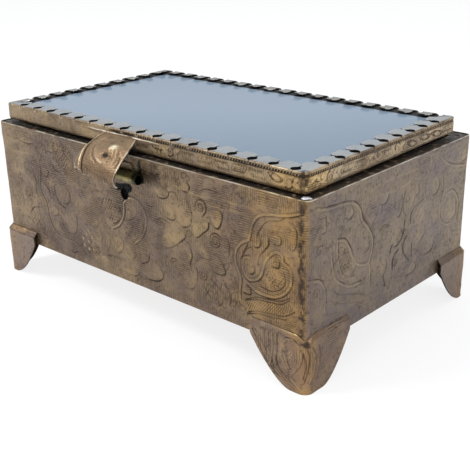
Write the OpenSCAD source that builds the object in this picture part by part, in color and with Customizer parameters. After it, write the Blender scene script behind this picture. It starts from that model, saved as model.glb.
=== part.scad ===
// Casket box of embossed brass sheet with a glazed lid.
// Origin: middle of the whole footprint, on the surface that the feet stand on.
// +X runs along the front from left to right, +Y runs to the back, +Z is up.

/* [Body] */
// Width of the body over the side walls
body_w = 165; // [120:1:240]
// Depth of the body over the front and back walls
body_d = 101.5; // [80:0.5:160]
// Height of the walls
wall_h = 51.4; // [38:0.1:90]
// Thickness of the embossed wall sheet
sheet_t = 0.6; // [0.4:0.1:0.9]
// Outer radius of the upright body corners
corner_r = 2.4; // [1.6:0.1:4]
// Thickness of the floor sheet
floor_t = 0.8; // [0.5:0.1:1.5]
// Height of the floor sheet above the lower edge of the walls
floor_rise = 0.6; // [0:0.1:3]

/* [Ledge] */
// Thickness of the ledge strip inside the wall top
ledge_t = 0.6; // [0.4:0.1:1]
// Height of the ledge's turned-down inner lip
ledge_lip = 3; // [1.5:0.5:6]
// Drop from the walls' top edge to the ledge
ledge_drop = 0.25; // [0:0.05:0.6]
// Base radius of a solder lump at a ledge mitre
lump_r = 2.8; // [1.5:0.1:3]

/* [Feet] */
// Gap under the walls, above the surface that the box stands on
foot_clear = 15.9; // [8:0.1:30]
// Height of a foot above the lower edge of the walls
foot_lap = 5.4; // [3:0.1:10]
// Thickness of the foot sheet
foot_t = 0.7; // [0.4:0.1:1]
// Distance that a foot's outer face stands off the wall
foot_proud = 1.1; // [1:0.1:2]
// Height of the bent-in lip along a foot's top edge
foot_lip = 1.2; // [0.6:0.1:2]
// Bow of a foot's inner outline, where 1 is straight and less is rounder
foot_bow = 0.62; // [0.45:0.01:1]
// Leg widths of the front right foot, along the front and along the side
foot_fr = [24.4, 23.8];
// Tip widths of the front right foot, along the front and along the side
foot_fr_tip = [7, 9.2];
// Leg width of the other three feet
foot_leg = 20.5; // [12:0.5:30]
// Tip width of the other three feet
foot_tip = 2.4; // [2:0.1:10]

/* [Liner] */
// Thickness of the velvet-covered side boards
liner_t = 4.4; // [1.5:0.1:6]
// Thickness of the velvet-covered floor board
liner_floor_t = 3; // [1.5:0.1:6]

/* [Lid] */
// Distance from the left wall's face to the lid's left band
lid_in_left = 2.6; // [1:0.1:6]
// Distance from the right wall's face to the lid's right band
lid_in_right = 3.6; // [1:0.1:6]
// Distance from the front wall's face to the lid's front band
lid_in_front = 3.1; // [1:0.1:6]
// Distance from the back wall's face to the lid's back band
lid_in_back = 6.5; // [5.5:0.1:9]
// Gap between the walls' top edge and the lid
lid_gap = 1.4; // [1.4:0.1:3]
// Height of the lid's bands
band_h = 6.3; // [6:0.1:12]
// Thickness of the band sheet
band_t = 0.5; // [0.4:0.1:0.8]
// Outer radius of the lid's upright corners
lid_r = 2; // [1.6:0.1:4]
// Outer radius of the bands' folds, along their top and their bottom
fold_r = 1; // [0.9:0.05:1.2]
// Width of the band's rolled-in lower edge
roll_w = 3; // [2.8:0.1:6]

/* [Glass] */
// Thickness of the glass pane
glass_t = 2.8; // [2:0.1:3.5]
// Gap all round the pane, and between the pane and the tabs over it
glass_gap = 0.3; // [0.1:0.1:0.5]
// Width of a bearer strip under the pane
bearer_w = 1.5; // [1:0.1:1.6]

/* [Tabs] */
// Length of the tabs folded over the glass, from the band's face
tab_len = 7; // [5:0.1:12]
// Radius of the round root of a notch between two tabs
notch_r = 1.15; // [0.8:0.05:1.5]
// Depth of the root's centre behind the band's face
notch_in = 1.1; // [1:0.1:2]
// Width of the slit from the root to the tabs' ends
slit_w = 0.9; // [0.4:0.1:1.4]
// Width of a notch's mouth at the tabs' ends
mouth_w = 2.6; // [1.5:0.1:4]
// Length of the widening mouth
mouth_len = 1.6; // [0.8:0.1:3]
// Spacing of the notches along the front
pitch_front = 8.95; // [6:0.05:14]
// Spacing of the notches along the back
pitch_back = 8.6; // [6:0.05:14]
// Spacing of the notches along the two sides
pitch_side = 8.45; // [6:0.05:14]
// Place of the middle notch along the front
mid_front = 2.5; // [-4:0.1:4]
// Place of the middle notch along the back
mid_back = 4; // [-4:0.1:4]
// Least distance of a notch from the lid's corners
notch_end = 3.2; // [3:0.1:8]

/* [Latch] */
// Place of the latch's middle along the front
latch_x = -6.2; // [-30:0.1:30]
// Thickness of the latch sheet
latch_t = 0.6; // [0.4:0.1:0.9]
// Width of the crossbar soldered to the front band
latch_bar_w = 40; // [26:1:60]
// Height of the crossbar
latch_bar_h = 2; // [1.4:0.1:2.6]
// Half width of the tongue where it leaves the crossbar
tongue_root = 8.5; // [6:0.1:12]
// Growth of the tongue's half width at its belly
tongue_belly = 3; // [0:0.1:6]
// Flare of the two ears at the tongue's lower edge
tongue_ear = 2.6; // [0:0.1:4]
// Reach of the tongue in front of the band
tongue_out = 13.2; // [9:0.1:18]
// Drop of the tongue's lower edge below its root
tongue_drop = 14.4; // [10:0.1:20]
// Height of the tongue's domed middle over its edges
tongue_dome = 1.4; // [0:0.1:3]

/* [Keeper] */
// Length of the rolled keeper
keeper_len = 28; // [20:0.5:40]
// Outer radius of the keeper's roll
keeper_r = 2; // [1.2:0.1:2.6]
// Thickness of the keeper sheet
keeper_t = 0.5; // [0.3:0.1:0.7]
// Distance from the walls' top edge down to the roll's centre
keeper_down = 7.5; // [6:0.1:14]
// Height of the keeper's back plate above the roll's centre
keeper_plate = 4.6; // [3:0.1:5.6]
// Radius of the round hole punched in the front wall
hole_r = 1.9; // [0.8:0.1:2.5]
// Distance of the hole from the keeper's centre line: right of the latch, and below the roll
hole_off = [3.2, -8.1];

/* [Hinges] */
// Distance of each hinge from the lid's middle
hinge_x = 45; // [25:1:55]
// Length of a hinge
hinge_len = 22; // [16:0.5:30]
// Length of the lid's knuckle
knuckle_len = 8; // [5:0.5:12]
// Outer radius of the knuckles
knuckle_r = 1.8; // [1.5:0.1:2]
// Radius of the hinge pin
pin_r = 0.9; // [0.6:0.05:1]
// Thickness of the hinge leaves
leaf_t = 0.6; // [0.5:0.05:0.6]
// Height of the lid leaf above the pin
leaf_h = 4.4; // [3.2:0.1:4.6]

/* [Hidden] */
$fn = 48;
seam = 0.1;             // solder or glue film between two pieces of one body
play = 0.3;             // least gap between the lid and the body
pin_play_body = 0.02;
pin_play_lid = 0.05;
knuckle_gap = 0.25;     // gap between two knuckles along the pin
eps = 0.01;

brass = [0.60, 0.50, 0.36];
brass_dark = [0.48, 0.40, 0.30];
brass_clean = [0.76, 0.64, 0.50];
tin = [0.75, 0.76, 0.76];
velvet = [0.16, 0.17, 0.26];
pane = [0.60, 0.69, 0.77, 0.8];

wall_z0 = foot_clear;
wall_z1 = wall_z0 + wall_h;
ledge_z1 = wall_z1 - ledge_drop;
ledge_w = liner_t + 2 * seam + ledge_t;
floor_z0 = wall_z0 + floor_rise;
liner_z0 = floor_z0 + floor_t;
liner_z1 = liner_z0 + liner_floor_t;
inner_w = body_w - 2 * sheet_t;
inner_d = body_d - 2 * sheet_t;
inner_r = corner_r - sheet_t;

lid_x0 = -body_w / 2 + lid_in_left;
lid_x1 = body_w / 2 - lid_in_right;
lid_y0 = -body_d / 2 + lid_in_front;
lid_y1 = body_d / 2 - lid_in_back;
lid_w = lid_x1 - lid_x0;
lid_d = lid_y1 - lid_y0;
lid_mid = [(lid_x0 + lid_x1) / 2, (lid_y0 + lid_y1) / 2];
lid_z0 = wall_z1 + lid_gap;
lid_z1 = lid_z0 + band_h;
glass_z1 = lid_z1 - band_t - glass_gap;
glass_z0 = glass_z1 - glass_t;
bearer_z0 = lid_z0 + band_t;
bearer_in = fold_r + seam;      // the strips stand on the flat of the rolled-in edge

latch_z = lid_z1 - fold_r - 0.8;     // upper edge of the crossbar, just under the top fold
root_z = latch_z - 0.7;              // the tongue leaves the crossbar a little below that edge
keeper_z = wall_z1 - keeper_down;
hinge_y = lid_y1 + knuckle_r + play + 0.05;
hinge_z = ledge_z1 + play + knuckle_r;

// ---- the tongue's curved sheet -------------------------------------------------------------
tongue_rows = 22;
tongue_cols = 12;
// Profile in front of the band, [reach, drop], as a curve that runs out, over and back in
tongue_reach = [0, 0.35, 1.29, 1] * tongue_out;
tongue_fall = [0, 0.125, 0.58, 1] * tongue_drop;
function bend(c, t) = pow(1 - t, 3) * c[0] + 3 * t * pow(1 - t, 2) * c[1]
    + 3 * t * t * (1 - t) * c[2] + pow(t, 3) * c[3];
function bend_way(c, t) = 3 * pow(1 - t, 2) * (c[1] - c[0]) + 6 * t * (1 - t) * (c[2] - c[1])
    + 3 * t * t * (c[3] - c[2]);
function ease(t) = t < 0.84 ? 0 : sin(90 * (t - 0.84) / 0.16);
function tongue_half(t) = tongue_root + tongue_belly * sin(150 * t) + tongue_ear * ease(t);
// Point of the sheet at t along the profile and u across it, "up" above its inner face
function tongue_at(t, u, up) =
    let (
        way = [bend_way(tongue_reach, t), bend_way(tongue_fall, t)],
        out = [way[1], -way[0]] / norm(way),
        rise = up + tongue_dome * sin(180 * t) * (1 - u * u)
    )
    [
        latch_x + tongue_half(t) * u,
        lid_y0 - bend(tongue_reach, t) - out[0] * rise,
        root_z - bend(tongue_fall, t) - out[1] * rise
    ];
function tongue_face(up) = [
    for (i = [0 : tongue_rows], j = [0 : tongue_cols])
        tongue_at(i / tongue_rows, 2 * j / tongue_cols - 1, up)
];
function tongue_no(i, j, s) = s * (tongue_rows + 1) * (tongue_cols + 1) + i * (tongue_cols + 1) + j;
tongue_points = concat(tongue_face(0), tongue_face(latch_t));
tongue_faces = concat(
    [for (i = [0 : tongue_rows - 1], j = [0 : tongue_cols - 1], h = [0, 1]) h == 0
        ? [tongue_no(i, j, 0), tongue_no(i + 1, j, 0), tongue_no(i, j + 1, 0)]
        : [tongue_no(i + 1, j, 0), tongue_no(i + 1, j + 1, 0), tongue_no(i, j + 1, 0)]],
    [for (i = [0 : tongue_rows - 1], j = [0 : tongue_cols - 1], h = [0, 1]) h == 0
        ? [tongue_no(i, j, 1), tongue_no(i, j + 1, 1), tongue_no(i + 1, j, 1)]
        : [tongue_no(i + 1, j, 1), tongue_no(i, j + 1, 1), tongue_no(i + 1, j + 1, 1)]],
    [for (i = [0 : tongue_rows - 1], h = [0, 1]) h == 0
        ? [tongue_no(i, 0, 0), tongue_no(i, 0, 1), tongue_no(i + 1, 0, 1)]
        : [tongue_no(i, 0, 0), tongue_no(i + 1, 0, 1), tongue_no(i + 1, 0, 0)]],
    [for (i = [0 : tongue_rows - 1], h = [0, 1]) h == 0
        ? [tongue_no(i, tongue_cols, 0), tongue_no(i + 1, tongue_cols, 1), tongue_no(i, tongue_cols, 1)]
        : [tongue_no(i, tongue_cols, 0), tongue_no(i + 1, tongue_cols, 0), tongue_no(i + 1, tongue_cols, 1)]],
    [for (j = [0 : tongue_cols - 1], h = [0, 1]) h == 0
        ? [tongue_no(0, j, 0), tongue_no(0, j + 1, 1), tongue_no(0, j, 1)]
        : [tongue_no(0, j, 0), tongue_no(0, j + 1, 0), tongue_no(0, j + 1, 1)]],
    [for (j = [0 : tongue_cols - 1], h = [0, 1]) h == 0
        ? [tongue_no(tongue_rows, j, 0), tongue_no(tongue_rows, j, 1), tongue_no(tongue_rows, j + 1, 1)]
        : [tongue_no(tongue_rows, j, 0), tongue_no(tongue_rows, j + 1, 1), tongue_no(tongue_rows, j + 1, 0)]]
);

// The tongue reaches furthest forward, the back feet furthest back
front_reach = min([for (p = tongue_points) p[1]]);
back_reach = body_d / 2 + foot_proud;
shift_y = -(front_reach + back_reach) / 2;

// ---- shared plans --------------------------------------------------------------------------
// Rectangle with round corners, centred
module round_plan(w, d, r) {
    square([w - 2 * r, d], center = true);
    square([w, d - 2 * r], center = true);
    for (sx = [-1, 1], sy = [-1, 1])
        translate([sx * (w / 2 - r), sy * (d / 2 - r)]) circle(r);
}

// Turns a side drawn as the front one to its place: 0 front, 1 right, 2 back, 3 left
module side(quarter) {
    rotate([0, 0, 90 * quarter]) children();
}

// Plan of a strip along the front side of a rectangle, mitred at both ends
module mitred_strip(len, half, from, to) {
    polygon([
        [-len / 2 + from, -half + from], [len / 2 - from, -half + from],
        [len / 2 - to, -half + to], [-len / 2 + to, -half + to]
    ]);
}

// ---- walls ---------------------------------------------------------------------------------
// One wall: a flat sheet with half of the round corner at each end, joined to the next at 45 degrees
module wall_plan(len, half) {
    translate([-len / 2 + corner_r, -half]) square([len - 2 * corner_r, sheet_t]);
    for (end = [-1, 1])
        translate([end * (len / 2 - corner_r), -half + corner_r])
            intersection() {
                difference() {
                    circle(corner_r);
                    circle(inner_r);
                }
                polygon([[0, 0], [0, -2 * corner_r], [end * 2 * corner_r, -2 * corner_r]]);
            }
}

module wall(len, half, quarter) {
    color(brass)
        side(quarter)
            translate([0, 0, wall_z0])
                linear_extrude(wall_h) wall_plan(len, half);
}

module front_wall() {
    difference() {
        wall(body_w, body_d / 2, 0);
        color(brass_dark)
            translate([latch_x + hole_off[0], -body_d / 2 - 1, keeper_z + hole_off[1]])
                rotate([-90, 0, 0]) cylinder(h = sheet_t + 2, r = hole_r);
    }
}

module back_wall() {
    wall(body_w, body_d / 2, 2);
}

module left_wall() {
    wall(body_d, body_w / 2, 3);
}

module right_wall() {
    wall(body_d, body_w / 2, 1);
}

// ---- ledge ---------------------------------------------------------------------------------
// Flat strip inside the wall top with its inner edge turned down, mitred at the corners
module ledge(len, half, quarter) {
    gap = sheet_t + seam;
    color(brass_dark)
        intersection() {
            side(quarter) {
                translate([0, 0, ledge_z1 - ledge_t])
                    linear_extrude(ledge_t) mitred_strip(len, half, gap, gap + ledge_w);
                translate([0, 0, ledge_z1 - ledge_lip])
                    linear_extrude(ledge_lip)
                        mitred_strip(len, half, gap + ledge_w - ledge_t, gap + ledge_w);
            }
            translate([0, 0, wall_z0])
                linear_extrude(wall_h)
                    round_plan(inner_w - 2 * seam, inner_d - 2 * seam, inner_r - seam);
        }
}

module ledge_front() {
    ledge(body_w, body_d / 2, 0);
}

module ledge_back() {
    ledge(body_w, body_d / 2, 2);
}

module ledge_left() {
    ledge(body_d, body_w / 2, 3);
}

module ledge_right() {
    ledge(body_d, body_w / 2, 1);
}

// Low round lumps of solder over the ledge's mitres; the lid comes down on the two at the front
module ledge_solder() {
    lump_h = lid_gap + ledge_drop - play;
    ball_r = (lump_r * lump_r + lump_h * lump_h) / (2 * lump_h);
    in = sheet_t + 2 * seam + lump_r;
    color(tin)
        for (sx = [-1, 1], sy = [-1, 1])
            translate([sx * (body_w / 2 - in), sy * (body_d / 2 - in), ledge_z1])
                intersection() {
                    translate([0, 0, lump_h - ball_r]) sphere(ball_r);
                    translate([-lump_r, -lump_r, 0]) cube([2 * lump_r, 2 * lump_r, lump_h + 1]);
                }
}

// ---- floor and liner -----------------------------------------------------------------------
module floor_plate() {
    color(brass_dark)
        translate([0, 0, floor_z0])
            linear_extrude(floor_t)
                round_plan(inner_w - 2 * seam, inner_d - 2 * seam, inner_r - seam);
}

module liner_floor() {
    color(velvet)
        translate([0, 0, liner_z0])
            linear_extrude(liner_floor_t)
                round_plan(inner_w - 2 * seam, inner_d - 2 * seam, inner_r - seam);
}

// Board standing on the floor board, up to the underside of the ledge and behind its lip
module liner_board(plan_w, plan_d, mid) {
    color(velvet)
        translate([0, 0, liner_z1])
            linear_extrude(ledge_z1 - ledge_t - seam - liner_z1)
                intersection() {
                    translate(mid) square([plan_w, plan_d], center = true);
                    round_plan(inner_w - 2 * seam, inner_d - 2 * seam, inner_r - seam);
                }
}

module liner_front() {
    liner_board(inner_w, liner_t, [0, -inner_d / 2 + seam + liner_t / 2]);
}

module liner_back() {
    liner_board(inner_w, liner_t, [0, inner_d / 2 - seam - liner_t / 2]);
}

module liner_left() {
    liner_board(liner_t, inner_d - 2 * liner_t - 4 * seam, [-inner_w / 2 + seam + liner_t / 2, 0]);
}

module liner_right() {
    liner_board(liner_t, inner_d - 2 * liner_t - 4 * seam, [inner_w / 2 - seam - liner_t / 2, 0]);
}

// ---- feet ----------------------------------------------------------------------------------
foot_top = foot_clear + foot_lap;
foot_r = corner_r + foot_proud;

// Outline of one leg: straight down beside the wall, then bowed in to the tip.
// The corner of the foot is at 0 and the leg runs to +X; the tip stands on the ground.
module leg_outline(leg, tip) {
    steps = 16;
    polygon(concat(
        [[0, 0]],
        [for (i = [0 : steps]) [tip + (leg - tip) * pow(i / steps, foot_bow), foot_clear * i / steps]],
        [[leg, foot_top], [0, foot_top]]
    ));
}

// Foot for the front right corner: an L of bent sheet that stands off the walls on its top lip
module foot(leg, tip) {
    outer_w = body_w + 2 * foot_proud;
    outer_d = body_d + 2 * foot_proud;
    cut = foot_proud + corner_r;
    color(brass) {
        intersection() {
            linear_extrude(foot_top)
                difference() {
                    round_plan(outer_w, outer_d, foot_r);
                    round_plan(outer_w - 2 * foot_t, outer_d - 2 * foot_t, foot_r - foot_t);
                }
            union() {
                translate([outer_w / 2, -outer_d / 2 + cut, 0])
                    rotate([90, 0, 0])
                        linear_extrude(cut + 1) mirror([1, 0]) leg_outline(leg[0], tip[0]);
                translate([outer_w / 2 - cut, -outer_d / 2, 0])
                    rotate([90, 0, 90]) linear_extrude(cut + 1) leg_outline(leg[1], tip[1]);
            }
        }
        intersection() {
            translate([0, 0, foot_top - foot_lip])
                linear_extrude(foot_lip)
                    difference() {
                        round_plan(outer_w - foot_t, outer_d - foot_t, foot_r - foot_t / 2);
                        round_plan(body_w, body_d, corner_r);
                    }
            union() {
                translate([outer_w / 2 - leg[0], -outer_d / 2, 0]) cube([leg[0], cut, foot_top]);
                translate([outer_w / 2 - cut, -outer_d / 2, 0]) cube([cut, leg[1], foot_top]);
            }
        }
    }
}

module foot_front_right() {
    foot(foot_fr, foot_fr_tip);
}

module foot_front_left() {
    mirror([1, 0, 0]) foot([foot_leg, foot_leg], [foot_tip, foot_tip]);
}

module foot_back_right() {
    mirror([0, 1, 0]) foot([foot_leg, foot_leg], [foot_tip, foot_tip]);
}

module foot_back_left() {
    mirror([0, 1, 0]) mirror([1, 0, 0]) foot([foot_leg, foot_leg], [foot_tip, foot_tip]);
}

// ---- latch keeper --------------------------------------------------------------------------
// Strip rolled to a tube in front of the wall, with a back plate that rises to a peak at its right
module latch_keeper() {
    axis_out = keeper_r + 0.05;
    half = keeper_len / 2;
    peak = keeper_plate + 1.8;
    color(brass_dark) {
        difference() {
            union() {
                translate([latch_x, -body_d / 2 - axis_out, keeper_z])
                    rotate([90, 0, 90])
                        linear_extrude(keeper_len, center = true) circle(keeper_r);
                translate([latch_x, -body_d / 2, keeper_z])
                    rotate([90, 0, 0])
                        linear_extrude(keeper_t)
                            polygon([
                                [-half, -keeper_r], [half, -keeper_r], [half, 0],
                                [half - 1.5, peak], [half - 4.5, 1.5], [half - 6, keeper_plate],
                                [-half, keeper_plate]
                            ]);
            }
            translate([latch_x, -body_d / 2 - axis_out, keeper_z])
                rotate([0, 90, 0])
                    cylinder(h = keeper_len + 2, r = keeper_r - keeper_t, center = true);
        }
    }
}

// ---- hinges --------------------------------------------------------------------------------
knuckle_side = (hinge_len - knuckle_len) / 2 - knuckle_gap;

// Body leaf: a plate on the back ledge, with a knuckle at each end
module hinge_leaf(x) {
    plate_y0 = hinge_y - knuckle_r;
    plate_y1 = body_d / 2 - sheet_t - 2 * seam;
    free = knuckle_len / 2 + knuckle_gap;
    color(brass_dark)
        translate([x, 0, 0])
            difference() {
                union() {
                    translate([-hinge_len / 2, plate_y0, ledge_z1])
                        cube([hinge_len, plate_y1 - plate_y0, leaf_t]);
                    for (end = [-1, 1])
                        translate([end * (hinge_len - knuckle_side) / 2, hinge_y, hinge_z])
                            rotate([0, 90, 0])
                                cylinder(h = knuckle_side, r = knuckle_r, center = true);
                }
                translate([-free, plate_y0 - 1, ledge_z1 - 1])
                    cube([2 * free, 2 * knuckle_r + play + 1, leaf_t + 2]);
                translate([0, hinge_y, hinge_z])
                    rotate([0, 90, 0])
                        cylinder(h = hinge_len + 2, r = pin_r + pin_play_body, center = true);
            }
}

// Lid leaf: a plate on the back band, rolled to one knuckle between the body's two
module lid_leaf(x) {
    color(brass_dark)
        translate([x, 0, 0])
            difference() {
                union() {
                    translate([-knuckle_len / 2, lid_y1, hinge_z]) cube([knuckle_len, leaf_t, leaf_h]);
                    translate([-hinge_len / 2, lid_y1, hinge_z + knuckle_r + play])
                        cube([hinge_len, leaf_t, leaf_h - knuckle_r - play]);
                    translate([0, hinge_y, hinge_z])
                        rotate([0, 90, 0]) cylinder(h = knuckle_len, r = knuckle_r, center = true);
                }
                translate([0, hinge_y, hinge_z])
                    rotate([0, 90, 0])
                        cylinder(h = knuckle_len + 2, r = pin_r + pin_play_lid, center = true);
            }
}

module hinge_pin(x) {
    color(brass_clean)
        translate([x, hinge_y, hinge_z])
            rotate([0, 90, 0]) cylinder(h = hinge_len + 1, r = pin_r, center = true);
}

// ---- lid bands -----------------------------------------------------------------------------
// C section of a band: x is the depth behind its face, y is the height
module band_section() {
    difference() {
        fold_plan(0, lid_z0, tab_len, lid_z1, fold_r);
        fold_plan(band_t, lid_z0 + band_t, tab_len + 1, lid_z1 - band_t, fold_r - band_t);
        translate([roll_w, lid_z0 - 1]) square([tab_len, 1 + band_t + eps]);
    }
}

// Rectangle whose two corners on the left are round
module fold_plan(x0, y0, x1, y1, r) {
    translate([x0 + r, y0]) square([x1 - x0 - r, y1 - y0]);
    translate([x0, y0 + r]) square([2 * r, y1 - y0 - 2 * r]);
    for (y = [y0 + r, y1 - r]) translate([x0 + r, y]) circle(r);
}

// Keyhole notch between two tabs, cut down through the top fold
module notch() {
    translate([0, 0, lid_z1 - fold_r - eps])
        linear_extrude(fold_r + 1) {
            translate([0, notch_in]) circle(notch_r);
            translate([-slit_w / 2, notch_in]) square([slit_w, tab_len]);
            polygon([
                [-slit_w / 2, tab_len - mouth_len], [slit_w / 2, tab_len - mouth_len],
                [mouth_w / 2, tab_len], [mouth_w / 2, tab_len + 1],
                [-mouth_w / 2, tab_len + 1], [-mouth_w / 2, tab_len]
            ]);
        }
}

// Places of the notches along a band of the given length, counted from its middle
function notch_places(len, pitch, mid) = [
    for (k = [-40 : 40])
        let (x = mid + k * pitch)
            if (abs(x) < len / 2 - notch_end - notch_r) x
];

// Band along the front of a rectangle len wide, face at y = 0, with mitred ends and round corners
module band(len, pitch, mid) {
    difference() {
        union() {
            intersection() {
                rotate([90, 0, 90])
                    linear_extrude(len - 2 * lid_r, center = true) band_section();
                translate([0, 0, lid_z0 - 1])
                    linear_extrude(band_h + 2)
                        polygon([
                            [-len / 2, 0], [len / 2, 0],
                            [len / 2 - 2 * tab_len, 2 * tab_len], [-len / 2 + 2 * tab_len, 2 * tab_len]
                        ]);
            }
            for (flip = [0, 1])
                mirror([flip, 0, 0])
                    translate([len / 2 - lid_r, lid_r, 0])
                        rotate([0, 0, -90])
                            rotate_extrude(angle = 45)
                                intersection() {
                                    translate([lid_r, 0]) mirror([1, 0]) band_section();
                                    translate([0, lid_z0 - 1]) square([lid_r, band_h + 2]);
                                }
        }
        for (x = notch_places(len, pitch, mid)) translate([x, 0, 0]) notch();
    }
}

module bezel_front() {
    color(brass) translate([lid_mid[0], lid_y0, 0]) band(lid_w, pitch_front, mid_front);
}

module bezel_back() {
    color(brass)
        translate([lid_mid[0], lid_y1, 0]) rotate([0, 0, 180]) band(lid_w, pitch_back, -mid_back);
}

module bezel_right() {
    color(brass) translate([lid_x1, lid_mid[1], 0]) rotate([0, 0, 90]) band(lid_d, pitch_side, 0);
}

module bezel_left() {
    color(brass) translate([lid_x0, lid_mid[1], 0]) rotate([0, 0, -90]) band(lid_d, pitch_side, 0);
}

// ---- glazing -------------------------------------------------------------------------------
// Plan of the room inside the bands, less a margin
module lid_room(margin) {
    translate(lid_mid)
        round_plan(lid_w - 2 * band_t - 2 * margin, lid_d - 2 * band_t - 2 * margin, lid_r - band_t);
}

module glass_pane() {
    color(pane)
        translate([0, 0, glass_z0]) linear_extrude(glass_t) lid_room(glass_gap);
}

// Strip that the glass rests on, along the inside of a band
module bearer(plan_w, plan_d, mid) {
    color(brass_dark)
        translate([0, 0, bearer_z0])
            linear_extrude(glass_z0 - bearer_z0)
                intersection() {
                    translate(mid) square([plan_w, plan_d], center = true);
                    lid_room(bearer_in - band_t);
                }
}

module bearer_front() {
    bearer(lid_w, bearer_w, [lid_mid[0], lid_y0 + bearer_in + bearer_w / 2]);
}

module bearer_back() {
    bearer(lid_w, bearer_w, [lid_mid[0], lid_y1 - bearer_in - bearer_w / 2]);
}

module bearer_left() {
    bearer(
        bearer_w, lid_d - 2 * bearer_in - 2 * bearer_w - 2 * seam,
        [lid_x0 + bearer_in + bearer_w / 2, lid_mid[1]]
    );
}

module bearer_right() {
    bearer(
        bearer_w, lid_d - 2 * bearer_in - 2 * bearer_w - 2 * seam,
        [lid_x1 - bearer_in - bearer_w / 2, lid_mid[1]]
    );
}

// ---- latch ---------------------------------------------------------------------------------
// T of springy sheet: a crossbar on the front band, and a domed tongue that comes down over the keeper
module latch_tongue() {
    half = latch_bar_w / 2;
    low = latch_z - latch_bar_h;
    color(brass_clean) {
        translate([latch_x, lid_y0, 0])
            rotate([90, 0, 0])
                linear_extrude(latch_t)
                    polygon([
                        [-half, latch_z - 0.5], [-half + 2, latch_z], [half - 2, latch_z],
                        [half, latch_z - 0.5], [half, latch_z - 0.9], [tongue_root + 1, low],
                        [-tongue_root - 1, low], [-half, latch_z - 0.9]
                    ]);
        polyhedron(points = tongue_points, faces = tongue_faces, convexity = 6);
    }
}

// ---- assembly ------------------------------------------------------------------------------
module placed() {
    translate([0, shift_y, 0]) children();
}

placed() front_wall();
placed() back_wall();
placed() left_wall();
placed() right_wall();
placed() ledge_front();
placed() ledge_back();
placed() ledge_left();
placed() ledge_right();
placed() ledge_solder();
placed() floor_plate();
placed() foot_front_left();
placed() foot_front_right();
placed() foot_back_left();
placed() foot_back_right();
placed() latch_keeper();
placed() liner_floor();
placed() liner_front();
placed() liner_back();
placed() liner_left();
placed() liner_right();
placed() hinge_leaf(lid_mid[0] - hinge_x);  // hinge_leaf_left
placed() hinge_leaf(lid_mid[0] + hinge_x);  // hinge_leaf_right
placed() hinge_pin(lid_mid[0] - hinge_x);  // hinge_pin_left
placed() hinge_pin(lid_mid[0] + hinge_x);  // hinge_pin_right
placed() bezel_front();
placed() bezel_back();
placed() bezel_left();
placed() bezel_right();
placed() bearer_front();
placed() bearer_back();
placed() bearer_left();
placed() bearer_right();
placed() glass_pane();
placed() latch_tongue();
placed() lid_leaf(lid_mid[0] - hinge_x);  // lid_leaf_left
placed() lid_leaf(lid_mid[0] + hinge_x);  // lid_leaf_right
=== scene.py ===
import math

import bmesh
import bpy
import numpy as np
from mathutils import Matrix, Vector


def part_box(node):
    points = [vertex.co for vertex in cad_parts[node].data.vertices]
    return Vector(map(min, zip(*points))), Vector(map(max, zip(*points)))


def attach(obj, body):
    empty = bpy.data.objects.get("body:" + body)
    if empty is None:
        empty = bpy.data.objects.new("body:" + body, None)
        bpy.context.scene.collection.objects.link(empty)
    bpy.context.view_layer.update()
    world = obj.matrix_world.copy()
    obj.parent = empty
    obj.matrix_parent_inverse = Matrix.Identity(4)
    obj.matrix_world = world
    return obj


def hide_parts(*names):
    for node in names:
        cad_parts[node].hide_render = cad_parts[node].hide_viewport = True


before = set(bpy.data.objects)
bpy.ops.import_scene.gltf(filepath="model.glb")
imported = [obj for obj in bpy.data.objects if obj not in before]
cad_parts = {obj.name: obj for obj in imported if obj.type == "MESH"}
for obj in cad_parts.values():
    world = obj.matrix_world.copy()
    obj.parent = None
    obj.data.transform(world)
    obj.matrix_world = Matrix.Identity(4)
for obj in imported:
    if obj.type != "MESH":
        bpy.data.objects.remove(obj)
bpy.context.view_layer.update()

# ---------------------------------------------------------------------------------------------
# Walls. Four sheets of thin brass, stamped from a die with flowers, paisleys and scrolls, bent
# round at the upright corners and soldered to each other on the corners' middle line. The
# hollows of the stamping hold dark patina, and handling has worn the high spots bright.
MM = 0.001
WALL_T = 0.6
CORNER_R = 2.4
FRONT_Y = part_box("front_wall")[0].y / MM
BACK_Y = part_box("back_wall")[1].y / MM
BODY_W = 2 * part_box("right_wall")[1].x / MM
BODY_D = BACK_Y - FRONT_Y
MID_Y = (FRONT_Y + BACK_Y) / 2
WALL_Z0, WALL_Z1 = (corner.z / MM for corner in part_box("front_wall"))
FOOT_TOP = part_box("foot_front_left")[1].z / MM
HOLE_X, HOLE_Z, HOLE_R = -3, 51.7, 1.95
LAYERS = ("boss", "ridge", "groove", "leaf")


def cloud(u, z, size, seed):
    """Soft random patches about size mm across, from -1 to 1"""
    lattice = np.random.default_rng(seed).uniform(-1, 1, (64, 64))
    a, b = (u / size) % 63, (z / size) % 63
    i, j = a.astype(int), b.astype(int)
    fa, fb = a - i, b - j
    fa, fb = fa * fa * (3 - 2 * fa), fb * fb * (3 - 2 * fb)
    low = lattice[i, j] * (1 - fa) + lattice[i + 1, j] * fa
    high = lattice[i, j + 1] * (1 - fa) + lattice[i + 1, j + 1] * fa
    return low * (1 - fb) + high * fb


def blank_die(u, z):
    """An unstamped face over columns u and rows z, in mm; the layers are heights of each kind of mark"""
    layers = {k: np.zeros((len(z), len(u))) for k in LAYERS}
    return {"u": np.asarray(u, float), "z": np.asarray(z, float), **layers}


def window(die, lo, hi):
    """The rows and columns of a die between two corners"""
    cols, rows = (slice(*np.searchsorted(die[k], (lo[n], hi[n]))) for n, k in enumerate("uz"))
    return rows, cols


def stamp_in(die, layer, where, mark):
    """Lays a mark into one layer, where it is stronger than what is there"""
    part = die[layer][where]
    np.maximum(part, mark, out=part)


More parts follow.
